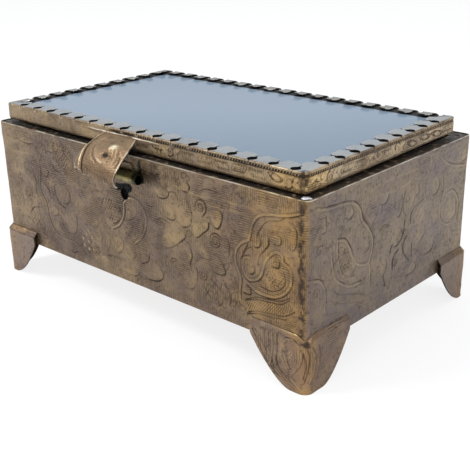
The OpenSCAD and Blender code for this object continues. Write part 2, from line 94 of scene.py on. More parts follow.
def smooth_line(points, fine=8):
    """Smooth curve through the points of a drawn line"""
    p = np.asarray(points, float)
    if len(p) < 3:
        return p
    p = np.vstack([2 * p[0] - p[1], p, 2 * p[-1] - p[-2]])
    t = np.linspace(0, 1, fine, endpoint=False)[:, None]
    out = [
        0.5 * (2 * b + (c - a) * t + (2 * a - 5 * b + 4 * c - d) * t**2 + (3 * b - a - 3 * c + d) * t**3)
        for a, b, c, d in zip(p[:-3], p[1:-2], p[2:-1], p[3:])
    ]
    return np.vstack([*out, p[-2][None]])


def beside(line):
    """Unit steps to the left of a line, at each of its points"""
    way = np.gradient(line, axis=0)
    return np.stack([-way[:, 1], way[:, 0]], 1) / np.maximum(np.hypot(*way.T), 1e-6)[:, None]


def chase(die, points, width=0.42, rise=-0.3, tick=0.0, shift=0.0):
    """A chased line: a groove if rise is below 0, else a ridge; with tick it becomes a row of short bars"""
    line = smooth_line(points)
    along = 0.0
    reach = 2.4 * width
    for a, b in zip(line[:-1], line[1:]):
        step = b - a
        size = math.hypot(*step)
        if size == 0:
            continue
        where = window(die, np.minimum(a, b) - reach, np.maximum(a, b) + reach)
        du = die["u"][None, where[1]] - a[0]
        dz = die["z"][where[0], None] - a[1]
        raw = (du * step[0] + dz * step[1]) / size**2
        t = np.clip(raw, 0, 1)
        far = np.hypot(du - t * step[0], dz - t * step[1])
        if tick:
            lean = (du * step[1] - dz * step[0]) / size
            bars = 0.5 + 0.5 * np.cos(2 * math.pi * ((along + t * size + 1.1 * lean) / tick + shift))
            mark = abs(rise) * bars * (abs(raw - 0.5) < 0.54) * (1 - (far / width) ** 4).clip(0)
        else:
            mark = abs(rise) * np.exp(-((far / width) ** 2) * 1.6)
        stamp_in(die, "ridge" if rise > 0 else "groove", where, mark)
        if rise > 0:
            stamp_in(die, "leaf", where, 4 * mark)
        along += size


def cord_line(die, points, off=0.75, rise=0.2):
    """A raised outline with a dark chased line beside it and a fainter one on its other side"""
    line = smooth_line(points)
    side = beside(line) * off * 0.85
    chase(die, line, 0.42, rise)
    chase(die, (line + side)[::2], 0.34, -0.36)
    chase(die, (line - side)[::2], 0.34, -0.2)


def petal(die, u, z, long, wide, turn, taper=0.2, rise=0.34, drop=0.36, ring=0.2):
    """A domed petal or leaf, drawn in at both ends, with a chased outline and a fainter one round it"""
    reach = max(long, wide) * 1.5 + 1.2
    where = window(die, (u - reach, z - reach), (u + reach, z + reach))
    du, dz = die["u"][None, where[1]] - u, die["z"][where[0], None] - z
    c, s = math.cos(math.radians(turn)), math.sin(math.radians(turn))
    a = (du * c + dz * s) / long
    b = (-du * s + dz * c) / (wide * np.clip(1 - taper * a, 0.2, 2))
    q = (abs(a) ** 1.55 + abs(b) ** 1.55) ** (1 / 1.55)
    vein = 1 - 0.35 * np.exp(-((b * wide / 0.5) ** 2))
    stamp_in(die, "boss", where, rise * np.sqrt(np.clip(1 - q * q, 0, 1)) * vein)
    size = min(long, wide)
    edge = drop * np.exp(-(((q - 1.04) * size / 0.36) ** 2))
    outer = ring * np.exp(-(((q - 1.04 - 0.95 / size) * size / 0.3) ** 2))
    stamp_in(die, "groove", where, np.maximum(edge, outer))


def inside(u, z, corners):
    """Which of the places u, z lie inside an outline"""
    odd = np.zeros(u.shape, bool)
    for (u0, z0), (u1, z1) in zip(corners, np.roll(corners, -1, 0)):
        if z0 != z1:
            odd ^= ((z0 > z) != (z1 > z)) & (u < (u1 - u0) * (z - z0) / (z1 - z0) + u0)
    return odd


def lobe(die, points, rise=0.2, drop=0.42, soft=0.75):
    """A raised flat patch with a rounded, drawn outline, cut deeper and darker along its right and lower
    edges as painted shadow
    """
    line = smooth_line([*points, points[0]], 5)
    where = window(die, line.min(0) - 1.2, line.max(0) + 1.2)
    u, z = np.meshgrid(die["u"][where[1]], die["z"][where[0]])
    far, lean = np.full(u.shape, 9.0), np.zeros(u.shape)
    area = 0.5 * np.sum(line[:-1, 0] * line[1:, 1] - line[1:, 0] * line[:-1, 1])
    for a, b in zip(line[:-1], line[1:]):
        step = b - a
        size = max(math.hypot(*step), 1e-6)
        t = np.clip(((u - a[0]) * step[0] + (z - a[1]) * step[1]) / size**2, 0, 1)
        away = np.hypot(u - a[0] - t * step[0], z - a[1] - t * step[1])
        outwards = np.array([step[1], -step[0]]) / size * np.sign(area)
        near = away < far
        far = np.where(near, away, far)
        lean = np.where(near, outwards @ (0.82, -0.57), lean)
    odd = inside(u, z, line[:-1])
    flat = rise * np.clip(far / soft, 0, 1) * odd
    stamp_in(die, "boss", where, flat * (2 - flat / rise))
    stamp_in(die, "leaf", where, 0.6 * odd * np.clip(far / 0.45, 0, 1))
    out = np.where(odd, -far, far)
    # the outline is cut deeper and painted darker where it faces right and down: painted shadow
    edge = drop * np.exp(-(((out - 0.12) / 0.32) ** 2)) * np.clip(0.45 + 0.7 * lean, 0.15, 1)
    stamp_in(die, "groove", where, edge)


def rosette(die, u, z, r, turns=1.6, turn=0.0):
    """A spiral rosette round a small boss"""
    t = np.linspace(0, 1, int(10 * turns) + 4)
    a = math.radians(turn) + t * turns * 2 * math.pi
    reach = r * (1 - 0.78 * t)
    chase(die, np.stack([u + reach * np.cos(a), z + reach * np.sin(a)], 1), 0.36, -0.34)
    petal(die, u, z, r, r, 0, 0, 0.22, 0.08, 0)
    petal(die, u, z, r * 0.28, r * 0.28, 0, 0, 0.36, 0.2, 0)


def scale_patch(die, corners, pitch=1.5):
    """A patch filled with rows of small scales"""
    u, z = np.meshgrid(die["u"], die["z"])
    row = np.round(z / pitch / 0.8)
    du = (u / pitch + 0.5 * (row % 2)) % 1 - 0.5
    dz = z / pitch / 0.8 - row
    q = (du**2 + (dz * 0.8) ** 2) / 0.46**2
    patch = inside(u, z, corners)
    stamp_in(die, "boss", ..., patch * 0.3 * np.sqrt(np.clip(1 - q, 0, 1)))
    stamp_in(die, "groove", ..., patch * 0.28 * (q > 0.9))


def fringe(die, points, half=1.3, pitch=1.25):
    """A feather fringe: short slanted bars between two lines"""
    line = smooth_line(points)
    chase(die, line, half, 0.2, pitch)
    chase(die, line, half, -0.3, pitch, 0.5)
    for off in (-half, half):
        chase(die, (line + beside(line) * off)[::2], 0.36, -0.3)


def fill_ground(die, seed, gap=2.7):
    """Small curls, leaves and seeds in whatever ground is still bare"""
    chance = np.random.default_rng(seed)
    u, z = die["u"], die["z"]
    for zc in np.arange(z[0] + 2.5, z[-1] - 1.5, gap):
        for uc in np.arange(u[0] + 2.5, u[-1] - 1.5, gap):
            a, b = uc + chance.uniform(-0.9, 0.9), zc + chance.uniform(-0.9, 0.9)
            where = window(die, (a - 1.5, b - 1.5), (a + 1.5, b + 1.5))
            turn, kind = chance.uniform(0, 6.28), chance.random()
            marked = sum(die[k][where].sum() for k in ("boss", "ridge", "groove"))
            if marked > 0.055 * die["boss"][where].size:
                continue
            if kind < 0.55:
                t = turn + np.linspace(0, 4.2, 9)
                r = np.linspace(1.7, 0.5, 9)
                chase(die, np.stack([a + r * np.cos(t), b + r * np.sin(t)], 1), 0.36, -0.17)
            elif kind < 0.85:
                petal(die, a, b, 1.7, 0.9, math.degrees(turn), 0.3, 0.18, 0.15, 0)
            else:
                petal(die, a, b, 0.9, 0.9, 0, 0, 0.2, 0.14, 0)


def pressed(die):
    """Heights of the finished stamping"""
    return die["boss"] + die["ridge"] - die["groove"]


def set_down(name, data):
    """Puts a mesh, a lamp or a camera into the scene"""
    thing = bpy.data.objects.new(name, data)
    bpy.context.collection.objects.link(thing)
    return thing


def keep_mark(mesh, key, values):
    """Keeps one of a piece's marks, a number for each point"""
    mesh.attributes.new(key, "FLOAT", "POINT").data.foreach_set("value", np.asarray(values, np.float32))


def grid_faces(n):
    """The four-sided faces between rows and columns of point numbers"""
    return np.stack([n[:-1, :-1], n[:-1, 1:], n[1:, 1:], n[1:, :-1]], -1).reshape(-1, 4)


def closed_sheet(name, outer, inner, marks):
    """Closed sheet between a face of points and its back, which may have only its two end rows"""
    rows, cols = outer.shape[:2]
    back = inner.shape[0]
    points = np.concatenate([outer.reshape(-1, 3), inner.reshape(-1, 3)]) * MM
    a = np.arange(rows * cols).reshape(rows, cols)
    b = rows * cols + np.arange(back * cols).reshape(back, cols)
    faces = np.concatenate([
        grid_faces(a),
        grid_faces(b.T),
        np.stack([a[0, :-1], b[0, :-1], b[0, 1:], a[0, 1:]], -1),
        np.stack([a[-1, :-1], a[-1, 1:], b[-1, 1:], b[-1, :-1]], -1),
    ]).tolist()
    if back == rows:
        faces += np.stack([a[:-1, 0], a[1:, 0], b[1:, 0], b[:-1, 0]], -1).tolist()
        faces += np.stack([a[:-1, -1], b[:-1, -1], b[1:, -1], a[1:, -1]], -1).tolist()
    else:
        faces += [[*a[::-1, 0], *b[:, 0]], [*a[:, -1], *b[::-1, -1]]]
    mesh = bpy.data.meshes.new(name)
    mesh.from_pydata(points.tolist(), [], faces)
    mesh.shade_smooth()
    mesh.set_sharp_from_angle(angle=math.radians(62))
    for key, values in marks.items():
        shown = np.broadcast_to(values, outer.shape[:2]).ravel()
        keep_mark(mesh, key, np.concatenate([shown, np.zeros(back * cols)]))
    return set_down(name, mesh)


def wall_run(length, step=0.36):
    """Plan of one wall seen from outside: place along it, way outwards and length run, mitre to mitre"""
    half = length / 2 - CORNER_R
    bend = np.radians(np.linspace(225, 270, 6)[:-1])
    flat = np.linspace(-half, half, int(2 * half / step) + 1)
    x = np.concatenate([-half + CORNER_R * np.cos(bend), flat, half - CORNER_R * np.cos(bend[::-1])])
    y = np.concatenate([CORNER_R * (1 + np.sin(bend)), 0 * flat, CORNER_R * (1 + np.sin(bend[::-1]))])
    nx = np.concatenate([np.cos(bend), 0 * flat, -np.cos(bend[::-1])])
    ny = np.concatenate([np.sin(bend), 0 * flat - 1, np.sin(bend[::-1])])
    run = CORNER_R * (math.radians(270) - bend)
    u = np.concatenate([-half - run, flat, half + run[::-1]])
    return x, y, nx, ny, u


def long_wall_die(u, z):
    """The front's stamping: flower and buds right of the latch, a paisley cartouche right, leaves left"""
    die = blank_die(u, z)
    for p in (
        [(15.8, 38.9), (18.5, 41.6), (22.7, 43.2), (27.3, 43.9), (28.5, 42.4), (26.5, 40.5), (23.5, 38.2),
         (20, 36.2), (17.3, 36.2)],
        [(24.6, 48.9), (25.4, 53.9), (28.5, 57), (30.4, 54.7), (31.9, 51.6), (31.2, 47.8), (28.1, 46.2),
         (25.8, 47.4)],
        [(40.4, 54.7), (41.2, 55.5), (44.2, 56.1), (46.2, 55.1), (46.2, 52.8), (44.6, 49.7), (42.7, 49.7),
         (40.8, 52)],
        [(32.3, 46.6), (33.1, 48.9), (36.2, 49.7), (39.6, 50.5), (39.6, 48.2), (37.3, 46.2), (34.6, 43.9),
         (33.1, 44.7)],
        [(32.3, 41.6), (34.6, 42.5), (36.9, 42), (39.6, 39.7), (40.9, 37.4), (39.2, 36.8), (36.2, 37.2),
         (33.1, 38.9)],
        [(41.5, 33.9), (42.3, 36.6), (43.5, 38.4), (45.4, 37.8), (46.5, 36.2), (47.3, 33.9), (45.8, 32.8),
         (43.1, 32.8)],
        [(25.4, 34.7), (26.5, 37.4), (28.8, 39.2), (30.8, 37.8), (31.4, 35.5), (30.2, 32.8), (30.8, 30.5),
         (28.1, 30.8), (26.5, 32.4)],
        [(26.5, 27), (27.7, 29.3), (30.4, 30.1), (32.7, 32.4), (33.8, 30.1), (33.5, 27), (31.9, 23.9),
         (29.6, 22.8), (27.3, 23.9)],
        [(10, 28.5), (12.3, 28), (15, 26), (15.8, 23.5), (14, 21.5), (11, 20.5), (6, 20.5), (5, 25)],
        [(13.8, 57), (16.9, 59), (20, 57.8), (20.8, 56.2), (18.5, 54.7), (15.4, 54.7)],
        [(15.8, 52), (18.5, 52.8), (22.3, 52), (24.2, 49), (22, 47.4), (18, 48), (16, 50)],
        [(27.3, 61.2), (29.2, 63.2), (31.2, 61.6), (30.4, 59.7), (28.1, 59.7)],
        [(53.4, 43), (54.6, 45.8), (57.6, 47.4), (56.4, 45), (54.6, 41.6)],
        [(60, 48.4), (61.2, 50.6), (63.2, 50), (62.8, 47.8), (61, 47.2)],
        [(64, 49), (64.4, 51.6), (66.4, 52), (66.6, 49.6), (65.4, 47.8)],
        [(67.3, 51.6), (69, 53.4), (71.8, 52.6), (71.4, 50.6), (69, 50.2)],
        [(75.4, 50.6), (75.2, 54.5), (76.4, 57.8), (78, 56.5), (77.9, 52), (76.8, 50)],
        [(67.4, 42.2), (67.2, 44.6), (69.2, 46), (71, 44.8), (70.6, 42.4)],
        [(55.4, 29.2), (55.6, 31), (58.2, 31.2), (58.7, 29.4)],
        [(57.2, 38.6), (57.8, 41), (60.2, 41), (60.6, 38.4), (58.8, 37)],
        [(-50, 30), (-47.5, 31), (-44, 28), (-42.5, 25.5), (-46, 26), (-48.5, 27.5)],
        [(-46, 44), (-44.6, 47), (-40.6, 47.6), (-37.4, 45), (-37.8, 41), (-41.4, 39.4), (-44.6, 41)],
        [(-51.6, 34), (-50, 36.6), (-46.6, 36.4), (-46, 34), (-48.6, 32.6)],
        [(-41.4, 34), (-40.6, 36.6), (-36.4, 38), (-34, 36), (-34.4, 30.4), (-36.4, 27.6), (-40, 28.6)],
        [(-32, 43.5), (-29.5, 44), (-27, 41), (-27, 39), (-30.5, 40)],
        [(-25.5, 35.5), (-23, 38), (-20, 37.5), (-20.5, 35), (-23, 34)],
        [(-32.5, 37), (-30, 38), (-27, 35), (-28, 33.5), (-31, 34)],
        [(-22.2, 26), (-22, 31), (-20.4, 34), (-18.8, 31), (-19, 26)],
        [(-3.4, 44), (-1.6, 48.4), (2, 49), (3, 45.6), (0.4, 42.6), (-2.4, 42)],
        [(1.4, 37), (3, 41), (5.6, 42.6), (6, 39), (3.6, 35.4)],
        [(-12.6, 30), (-10.4, 33.4), (-6.4, 33), (-6, 29), (-9, 26.6)],
        [(-5, 27), (-4, 31), (0, 31.6), (1, 28), (-2, 25.6)],
        [(-26, 42.5), (-23, 43.6), (-20.2, 42.4), (-21, 39.8), (-24.6, 39.4)],
        [(-51, 62), (-47, 64.4), (-42.6, 63), (-44, 60.6), (-48.4, 60)],
        [(-56, 50), (-53.6, 53), (-50.4, 51.4), (-52, 48.6)],
        [(-9.5, 19.6), (-4, 21.8), (2, 21.6), (0, 19.4)],
    ):
        lobe(die, p, *((0.2, 0.4) if p[0][0] > 8 else (0.1, 0.26)))
    for x, y in (
        (-30.6, 27.4), (-28.6, 29.6), (-26.6, 27), (-26.5, 30.6), (-24.4, 28.2), (-24.6, 24.8), (-27.4, 24),
        (-30, 24.6),
    ):
        chase(die, [(x - 0.3, y + 0.6), (x, y), (x + 0.3, y - 0.6)], 1.2, 0.2)
    chase(die, [(-25.6, 18.8), (-22, 21.4), (-17, 22.6)], 0.9, 0.16)
    for p in (
        (16.5, 44.2, 2.5, 1.5, 60), (22.7, 55.5, 2.9, 1.5, 0), (36.2, 55.5, 3, 1.7, 300),
        (43.1, 44.5, 3.1, 2.1, 20), (30.4, 43.9, 1.8, 1.4, 0), (22.3, 30.5, 2.3, 1.8, 40),
        (36.9, 30.1, 2.1, 1.7, 150), (-8.5, 30, 1.6, 1.2, 0), (-66, 39, 2.6, 1.5, 0),
    ):
        rosette(die, *p)
    for line in (
        [(80.6, 63.4), (76, 61.6), (71.5, 60.5), (68.5, 60.1), (63.8, 58.9), (61.2, 57), (59.6, 54.3),
         (58.6, 50.5), (58.1, 48.9)],
        [(58.1, 48.9), (55.4, 47.4), (53.5, 45.5), (52.5, 43.9), (51.9, 40.5), (52.7, 37.8), (53.8, 35.5),
         (54.2, 33.2), (53.7, 29.3), (53.8, 26)],
        [(72.3, 46.8), (70.8, 47.8), (68.8, 47.2), (66.5, 45.1), (65, 42.8), (64.2, 40.1), (63.1, 37.4),
         (61.2, 35.6), (58.5, 34.7), (56.5, 35.8), (55.4, 37.8), (55.2, 40.1), (56.2, 42), (58.5, 42.8)],
        [(72.3, 46.8), (72.7, 44.7), (75.4, 43.2), (76, 40.1), (75.4, 37), (73.1, 33.9), (69.2, 31.6),
         (64.6, 31), (60.8, 31.5), (57.3, 33.2)],
        [(-56.6, 55), (-56.3, 50), (-57.3, 44), (-56.6, 40.4), (-54.4, 37.6), (-53.6, 33), (-52.8, 30),
         (-51, 26.5), (-47.5, 24), (-42, 23.5), (-37, 23.5), (-33, 22), (-30, 19.6)],
        [(-4, 48), (-1, 50.5), (3, 50.5), (6.5, 48), (8, 44.5), (7, 40), (4.5, 36), (1, 33)],
        [(-4, 48), (-4.6, 43), (-7.5, 38.5), (-11.6, 36.2)],
    ):
        cord_line(die, line, 0.8, 0.24 if line[0][0] > -10 else 0.13)
    for line in (
        [(11.5, 44), (13.5, 45.5), (17, 46.6), (20.4, 45.8), (21.4, 43.8)],
        [(30.6, 56.4), (32.2, 52.6), (31.6, 48.6), (29.4, 46.4)],
        [(35.4, 58.6), (38.4, 57.4), (39, 54.4), (37, 51.8)], [(28, 41.4), (30.2, 40.4), (31.4, 37.6)],
        [(20, 47.6), (23.6, 46.6), (26, 44.8)],
        [(59.2, 46.8), (56.5, 44.7), (55.2, 42.4)], [(62, 41), (63, 44.6), (66, 48)],
        [(68.4, 43.6), (70, 44.4), (70, 42.6), (68.6, 42.4)],
        [(56.6, 27), (61, 29), (66, 29.9), (71.5, 30.8), (75.4, 33)],
        [(57, 21.6), (62, 23.2), (68, 23.9), (74, 24.8)],
        [(74, 60.4), (71, 58.6), (66, 57), (63, 53.6), (61.8, 51)],
        [(73, 41.4), (73.6, 38), (71.6, 35), (67.6, 33.2), (63.6, 33.6)],
        [(37, 25.6), (39.8, 22.6)], [(37.6, 22.6), (39.4, 25.4)], [(43, 23), (44.2, 20.6), (45.8, 22.4)],
        [(42, 29), (44.6, 27), (45.4, 29.4)],
        [(-36.5, 48), (-34.5, 44), (-31, 42.5), (-27.5, 40), (-25.6, 37.4)],
        [(-21.5, 40), (-18, 43), (-16, 47)],
        [(-47, 46), (-46.6, 42.6), (-44.5, 39), (-41, 37.4)],
        [(-26, 18.6), (-23, 21.5), (-18, 23), (-12, 24.2), (-6, 24.5)],
        [(-6.5, 45.5), (-5.5, 42.4), (-8, 39.5), (-11, 38)], [(-17, 35), (-14, 33), (-13.4, 29), (-15, 26)],
        [(-33, 62), (-33.4, 56), (-33, 51)],
        [(-2, 46), (0, 45.4), (1, 43)], [(2.6, 40), (3.4, 38)], [(-35, 20), (-38, 18.8), (-42, 19.8)],
        [(-27.4, 60.4), (-24, 58.4), (-20, 58)],
        [(-30.5, 53), (-29.4, 48.6), (-26, 45), (-23, 45.5), (-21.3, 48.4), (-20, 52)],
        [(-44.6, 33), (-43, 29), (-39.6, 26.6)],
        [(-61, 49), (-59.6, 45), (-60.4, 41)], [(-66, 30), (-63, 33), (-59.6, 33.6)],
        [(-54, 46), (-51, 43), (-50, 39)], [(-48, 56), (-45.4, 53), (-41, 52)],
        [(2, 62.6), (8, 63), (14, 62)], [(4, 25.4), (8, 27.6), (9, 31)], [(48, 48), (49.6, 44), (49, 40)],
        [(47, 30), (49.4, 26), (49, 22)],
        [(-70, 62), (-64, 60.6), (-59, 61.4)], [(-78, 50), (-70, 50.6), (-62, 48.6)],
        [(-75, 43), (-71, 38), (-70, 32)],
        [(30, 30), (29.4, 27), (30.6, 25.2)], [(8, 52), (10.4, 50), (13, 50.4)],
        [(36, 61), (40, 62.6), (45, 62)],
    ):
        chase(die, line, 0.36, -0.3)
    for line in (
        [(24, 60.8), (34, 59.4), (44, 59.8), (54, 60.2), (61, 60.2)],
        [(40, 56.9), (46.6, 57), (52, 57.4), (57, 57.4)],
        [(-80, 57), (-70, 56.2), (-60, 57)], [(-80, 62), (-72, 60.6), (-64, 63)],
        [(-62, 45), (-61.6, 41), (-60.4, 37)],
    ):
        chase(die, line, 0.5, 0.2)
    scale_patch(die, [(-15, 47.5), (-8, 48.5), (-6, 44), (-8, 39.4), (-13, 38.6), (-16, 43)])
    scale_patch(die, [(-46, 58), (-40, 52), (-34.6, 51), (-33.8, 62), (-40, 65), (-46, 64)], 1.3)
    scale_patch(die, [(65, 42), (66, 36), (70, 34.4), (73.4, 38), (73, 41), (69, 41)], 1.3)
    for x, y in (
        (-27.6, 29.6), (-24.6, 29.2), (-30.4, 27.4), (-27.2, 26.4), (-24, 26.2), (-30, 24.2), (-27, 23.3),
        (-24.2, 23.4), (-32.6, 24.6), (-21.8, 24),
    ):
        petal(die, x, y, 1.25, 1.25, 0, 0, 0.36, 0.28, 0)
    fringe(die, [(57, 24.6), (61.6, 26.2), (67, 27), (72.6, 27.9), (76.4, 30.4)], 2, 1.2)
    fill_ground(die, 5)
    return die


def short_wall_die(u, z):
    """The sides' stamping: cartouches at the left, with a scaled leaf, and right, a scroll flower between"""
    die = blank_die(u, z)
    for p in (
        [(-31.6, 57), (-30.6, 59.4), (-27.6, 59.4), (-26.4, 57), (-28.6, 55.6)],
        [(-43.6, 55), (-43.4, 60), (-41.6, 60), (-41.4, 55)],
        [(-34.6, 49), (-31.1, 48.4), (-28.3, 45.3), (-26.7, 42), (-24.6, 37.4), (-28.3, 34.6),
         (-31.7, 36.8), (-33.8, 40.6), (-34.7, 45)],
        [(-3.6, 40), (-1, 43.6), (3, 43), (4.4, 39.6), (1.4, 37.2), (-2, 37.6)],
        [(11, 41.4), (12.4, 46), (16.6, 47.6), (19, 44.6), (16, 41.2)],
        [(-1.6, 50), (-1, 55), (2.4, 55.4), (3, 51), (1.4, 47.8)],
        [(7.4, 49), (7, 54), (9.4, 56), (11.2, 52.6), (9.6, 49)],
        [(12, 35), (13.4, 39), (18, 39.6), (19.4, 36), (16, 33.4)],
        [(24, 50), (23, 54), (26, 56.6), (28.6, 53.6), (27, 50)],
        [(3.6, 30.6), (1.6, 35), (4, 37), (5, 34), (5.4, 31)],
        [(24.4, 37), (24, 41.4), (27.4, 43), (28, 38.6)],
        [(34, 60.6), (37, 64), (46, 63), (48, 58.6), (40, 58.4)],
        [(35, 38), (34.4, 44), (37.4, 46.6), (41.4, 43.6), (42.6, 38), (39, 36)],
        [(8, 22.6), (10, 26), (15, 26.4), (14, 23)],
        [(-10, 29), (-9.6, 33), (-6.4, 34), (-5.4, 30.6), (-7.6, 28)],
        [(21, 27), (22.4, 31), (27, 31), (26, 27.4)],
        [(-20, 41), (-20, 45), (-17.8, 46.4), (-17, 42)], [(-12, 56), (-10, 60), (-6, 59), (-7.4, 55.4)],
        [(14, 58), (16, 61.6), (21, 61), (19, 57.6)],
    ):
        lobe(die, p, 0.12, 0.34)
    for p in (
        (-44.4, 49.2, 1.9, 1.1, 40), (-7.2, 43.7, 2.8, 1.5, 30), (0.6, 30.9, 2, 1.4, 100),
        (21.1, 43.7, 1.7, 1.3, 200), (14.6, 30, 1.4, 1.2, 0), (-46, 35, 1.8, 1.3, 0),
    ):
        rosette(die, *p)
    for line in (
        [(-46.7, 63.7), (-41, 62.3), (-33.3, 61.7), (-27.2, 60.6), (-23.3, 57.6), (-21.3, 53.1),
         (-17.8, 49.2), (-15.3, 45.3), (-15, 41.4), (-16.7, 36.4)],
        [(-16.7, 36.4), (-15.8, 32.6), (-15.8, 27)],
        [(-35, 49.8), (-31.1, 48.7), (-28.3, 45.3), (-26.7, 42), (-23.9, 38.1), (-20, 36.4), (-17.2, 36.4)],
        [(-35, 49.8), (-35, 44.8), (-33.9, 40.3), (-31.7, 36.4), (-28.3, 34.2), (-25, 33.7)],
        [(-38.3, 45.9), (-37.2, 40.3), (-35.6, 36.4), (-31.7, 33.1), (-26.7, 30.9), (-21, 30.4)],
        [(-50, 40.3), (-44.4, 38.7), (-41.7, 35.3), (-41.1, 31.4), (-41.7, 27)],
        [(32.2, 58.7), (30.6, 54.8), (30.9, 50.3), (29.4, 45.3), (30, 40.3), (31.7, 37), (35.6, 34.8),
         (38.4, 34.4)],
        [(37.8, 32.6), (38.7, 27.6)],
        [(34.4, 47.6), (38.9, 47.6), (42.2, 44.8), (44.4, 40.3), (43.3, 34.8)],
        [(27.8, 63.7), (32.2, 60.3), (38.9, 57.6), (46.7, 55.9)],
    ):
        cord_line(die, line, 0.85, 0.24)
    for line in (
        [(5, 56.4), (3.9, 52.6), (4.4, 49.2), (6, 46.8)], [(13.9, 56.4), (13.9, 53.7), (12.2, 52.2)],
        [(9.4, 43.2), (9.4, 46.4), (12.2, 48.7), (17.6, 50)],
        [(5.6, 45.4), (5.2, 40.4)], [(7.4, 39), (5.6, 36.4), (6.1, 32.6), (9.8, 28.4)],
        [(11.1, 34.6), (11.5, 29.4)], [(-1.1, 28.1), (-1.3, 32.6), (2.4, 35)],
        [(-3.5, 35.6), (-2, 38.4)], [(-7.2, 28.1), (-5.6, 23.7)], [(-10.2, 46), (-8, 47.4), (-4.4, 46.2)],
        [(13.2, 32), (15.6, 30.4)],
    ):
        chase(die, line, 0.46, -0.4)
    for line in (
        [(-8, 40), (-4, 38.4), (0, 39.4), (4.4, 42)], [(12, 41), (17, 40.6), (22, 42.6)],
        [(-22, 56.6), (-19, 52.6), (-16.6, 50)], [(33.6, 52), (37, 50.6), (42, 50.4), (47, 48)],
        [(-5, 50), (-1, 48), (3, 47.6)], [(16, 37), (20, 34), (22, 30)], [(24, 61), (27, 58), (28, 53)],
        [(40, 55), (44, 53.6), (48, 53.4)], [(-48, 58), (-45, 57), (-42, 57.6)],
    ):
        chase(die, line, 0.42, -0.2)
    for line in (
        [(-18, 62.4), (-6, 63.4), (8, 62.8), (22, 63.4)], [(-14, 59.6), (-2, 58.4), (8, 59)],
        [(-12, 22), (0, 20.6), (12, 21)],
    ):
        chase(die, line, 0.5, 0.16)
    leaf = [(-34.4, 48), (-34.4, 42), (-33, 37.4), (-29, 34.6), (-25.6, 36), (-27, 41), (-29.4, 45.4)]
    scale_patch(die, leaf, 1.7)
    fringe(die, [(-37.5, 31), (-32.6, 28.2), (-26.7, 26.4), (-21.1, 24.4), (-15.6, 21.4)], 1.5, 1.35)
    fringe(die, [(-47, 22), (-42, 23.4), (-36, 23.4), (-30, 21)], 0.9, 1.2)
    fill_ground(die, 6)
    return die


def press_wall(name, length, half, quarter, die_of, worn):
    """One wall, with its stamping pressed outwards and the marks that its finish reads"""
    x, y, nx, ny, u = wall_run(length)
    die = die_of(u, np.linspace(WALL_Z0, WALL_Z1, 143))
    uu, zz = np.meshgrid(u, die["z"])
    front = quarter == 0
    turn = math.radians(90 * quarter)

    def patches(size, number, shift=0):
        return cloud(uu + shift, zz, size, 10 * quarter + number)

    def placed(push, z):
        """Points of the wall, pushed outwards by so much"""
        px, py = x + nx * push, -half + y + ny * push
        across = px * math.cos(turn) - py * math.sin(turn)
        return np.stack([across, px * math.sin(turn) + py * math.cos(turn) + MID_Y, z], -1)

    die["groove"] *= 1.05 + 0.4 * np.clip(patches(3.3, 8, 200), -0.9, 0.5)
    wear = (0.75 + 0.25 * np.clip(patches(22, 1) + 0.5, -1, 1)) * worn(uu, zz)
    dents = 0.16 * patches(13, 2) + 0.07 * patches(4.1, 3) + 0.03 * patches(1.3, 4)
    end = length / 2 - np.abs(np.broadcast_to(x, uu.shape))
    rim = np.clip(np.minimum.reduce([zz - WALL_Z0, WALL_Z1 - zz, end * 2.2]) / 0.9, 0, 1)
    # behind the feet the sheet keeps flat
    room = np.maximum(np.clip((zz - FOOT_TOP - 0.3) / 1.5, 0, 1), np.clip((end - 24) / 3, 0, 1))
    height = (pressed(die) * wear * 0.5 + dents) * rim
    height = np.where(height > 0, height * (0.25 + 0.75 * room), height)
    deep = np.hypot(uu - HOLE_X, zz - HOLE_Z)
    if front:
        height = np.where(deep < HOLE_R, -0.5, height)
    levels = np.repeat([[WALL_Z0], [WALL_Z1]], len(u), 1)
    outer, inner = placed(height, zz), placed(np.full(levels.shape, -WALL_T), levels)

    lines = die["boss"] * 0.3 + die["ridge"] * 1.7 - die["groove"] * 1.15
    relief = np.clip(0.5 + lines * wear + dents * 0.5, 0, 1)
    ragged = 0.9 * patches(2.2, 5) + 0.8 * patches(0.9, 6)
    spots = np.clip(0.75 + 0.9 * patches(0.8, 9) + 0.8 * patches(2.3, 0), 0, 1) * (1, 0.2, 0.6, 0.6)[quarter]
    streak = np.clip(1.45 - np.abs(end - 2.4 + 0.5 * ragged), 0, 1) * spots * (zz > WALL_Z0 + 3)
    gold = 1.1 - end / (32 if front else 8) + 0.45 * patches(5, 7) + 0.2 * patches(1.6, 6)
    gold = np.clip(gold, 0, 1) * (1 if front else 0.35)
    # a painted highlight along the wall's top edge
    glint = (zz > WALL_Z1 - 0.3) * np.clip(0.45 + 0.6 * patches(3, 4), 0, 0.7)
    leaf = die["leaf"] * np.clip(0.85 + 0.5 * patches(3.1, 3), 0, 1) * worn(uu, zz)
    hole = 0
    if front:
        # the hole is painted black, as painted shade inside it, with a painted shadow smeared to its left;
        # right of the latch, under the band beside the keeper, a ragged dark patch is painted shade together
        # with tarnish
        relief = np.where(deep < HOLE_R + 0.2, 0, relief)
        across = np.clip((uu + 7.2) / 7, 0, 1)
        smear = np.hypot(uu + 7.2 - 7 * across, zz - 53.4 - 1.2 * across)
        hole = np.maximum(deep < HOLE_R + 0.35, np.clip(4.2 - smear / 0.43 + 0.8 * ragged, 0, 1))
        shade = np.clip(1.3 - np.hypot((uu - 14) / 7, (zz - 61.5) / 4) + 0.5 * ragged, 0, 1)
        streak = np.maximum(streak * (uu > 0), shade * (0.5 + 0.5 * spots))
        gold *= uu > 0
    marks = {"relief": relief, "streak": streak, "gold": gold, "hole": hole, "glint": glint, "leaf": leaf}
    return closed_sheet(name, outer, inner, marks)


def tree_node(tree, kind, **settings):
    """A node of a tree, with its plain settings and its unlinked inputs filled in by name"""
    node = tree.nodes.new(kind)
    for key, value in settings.items():
        if key in node.inputs:
            node.inputs[key].default_value = value
        else:
            setattr(node, key, value)
    return node


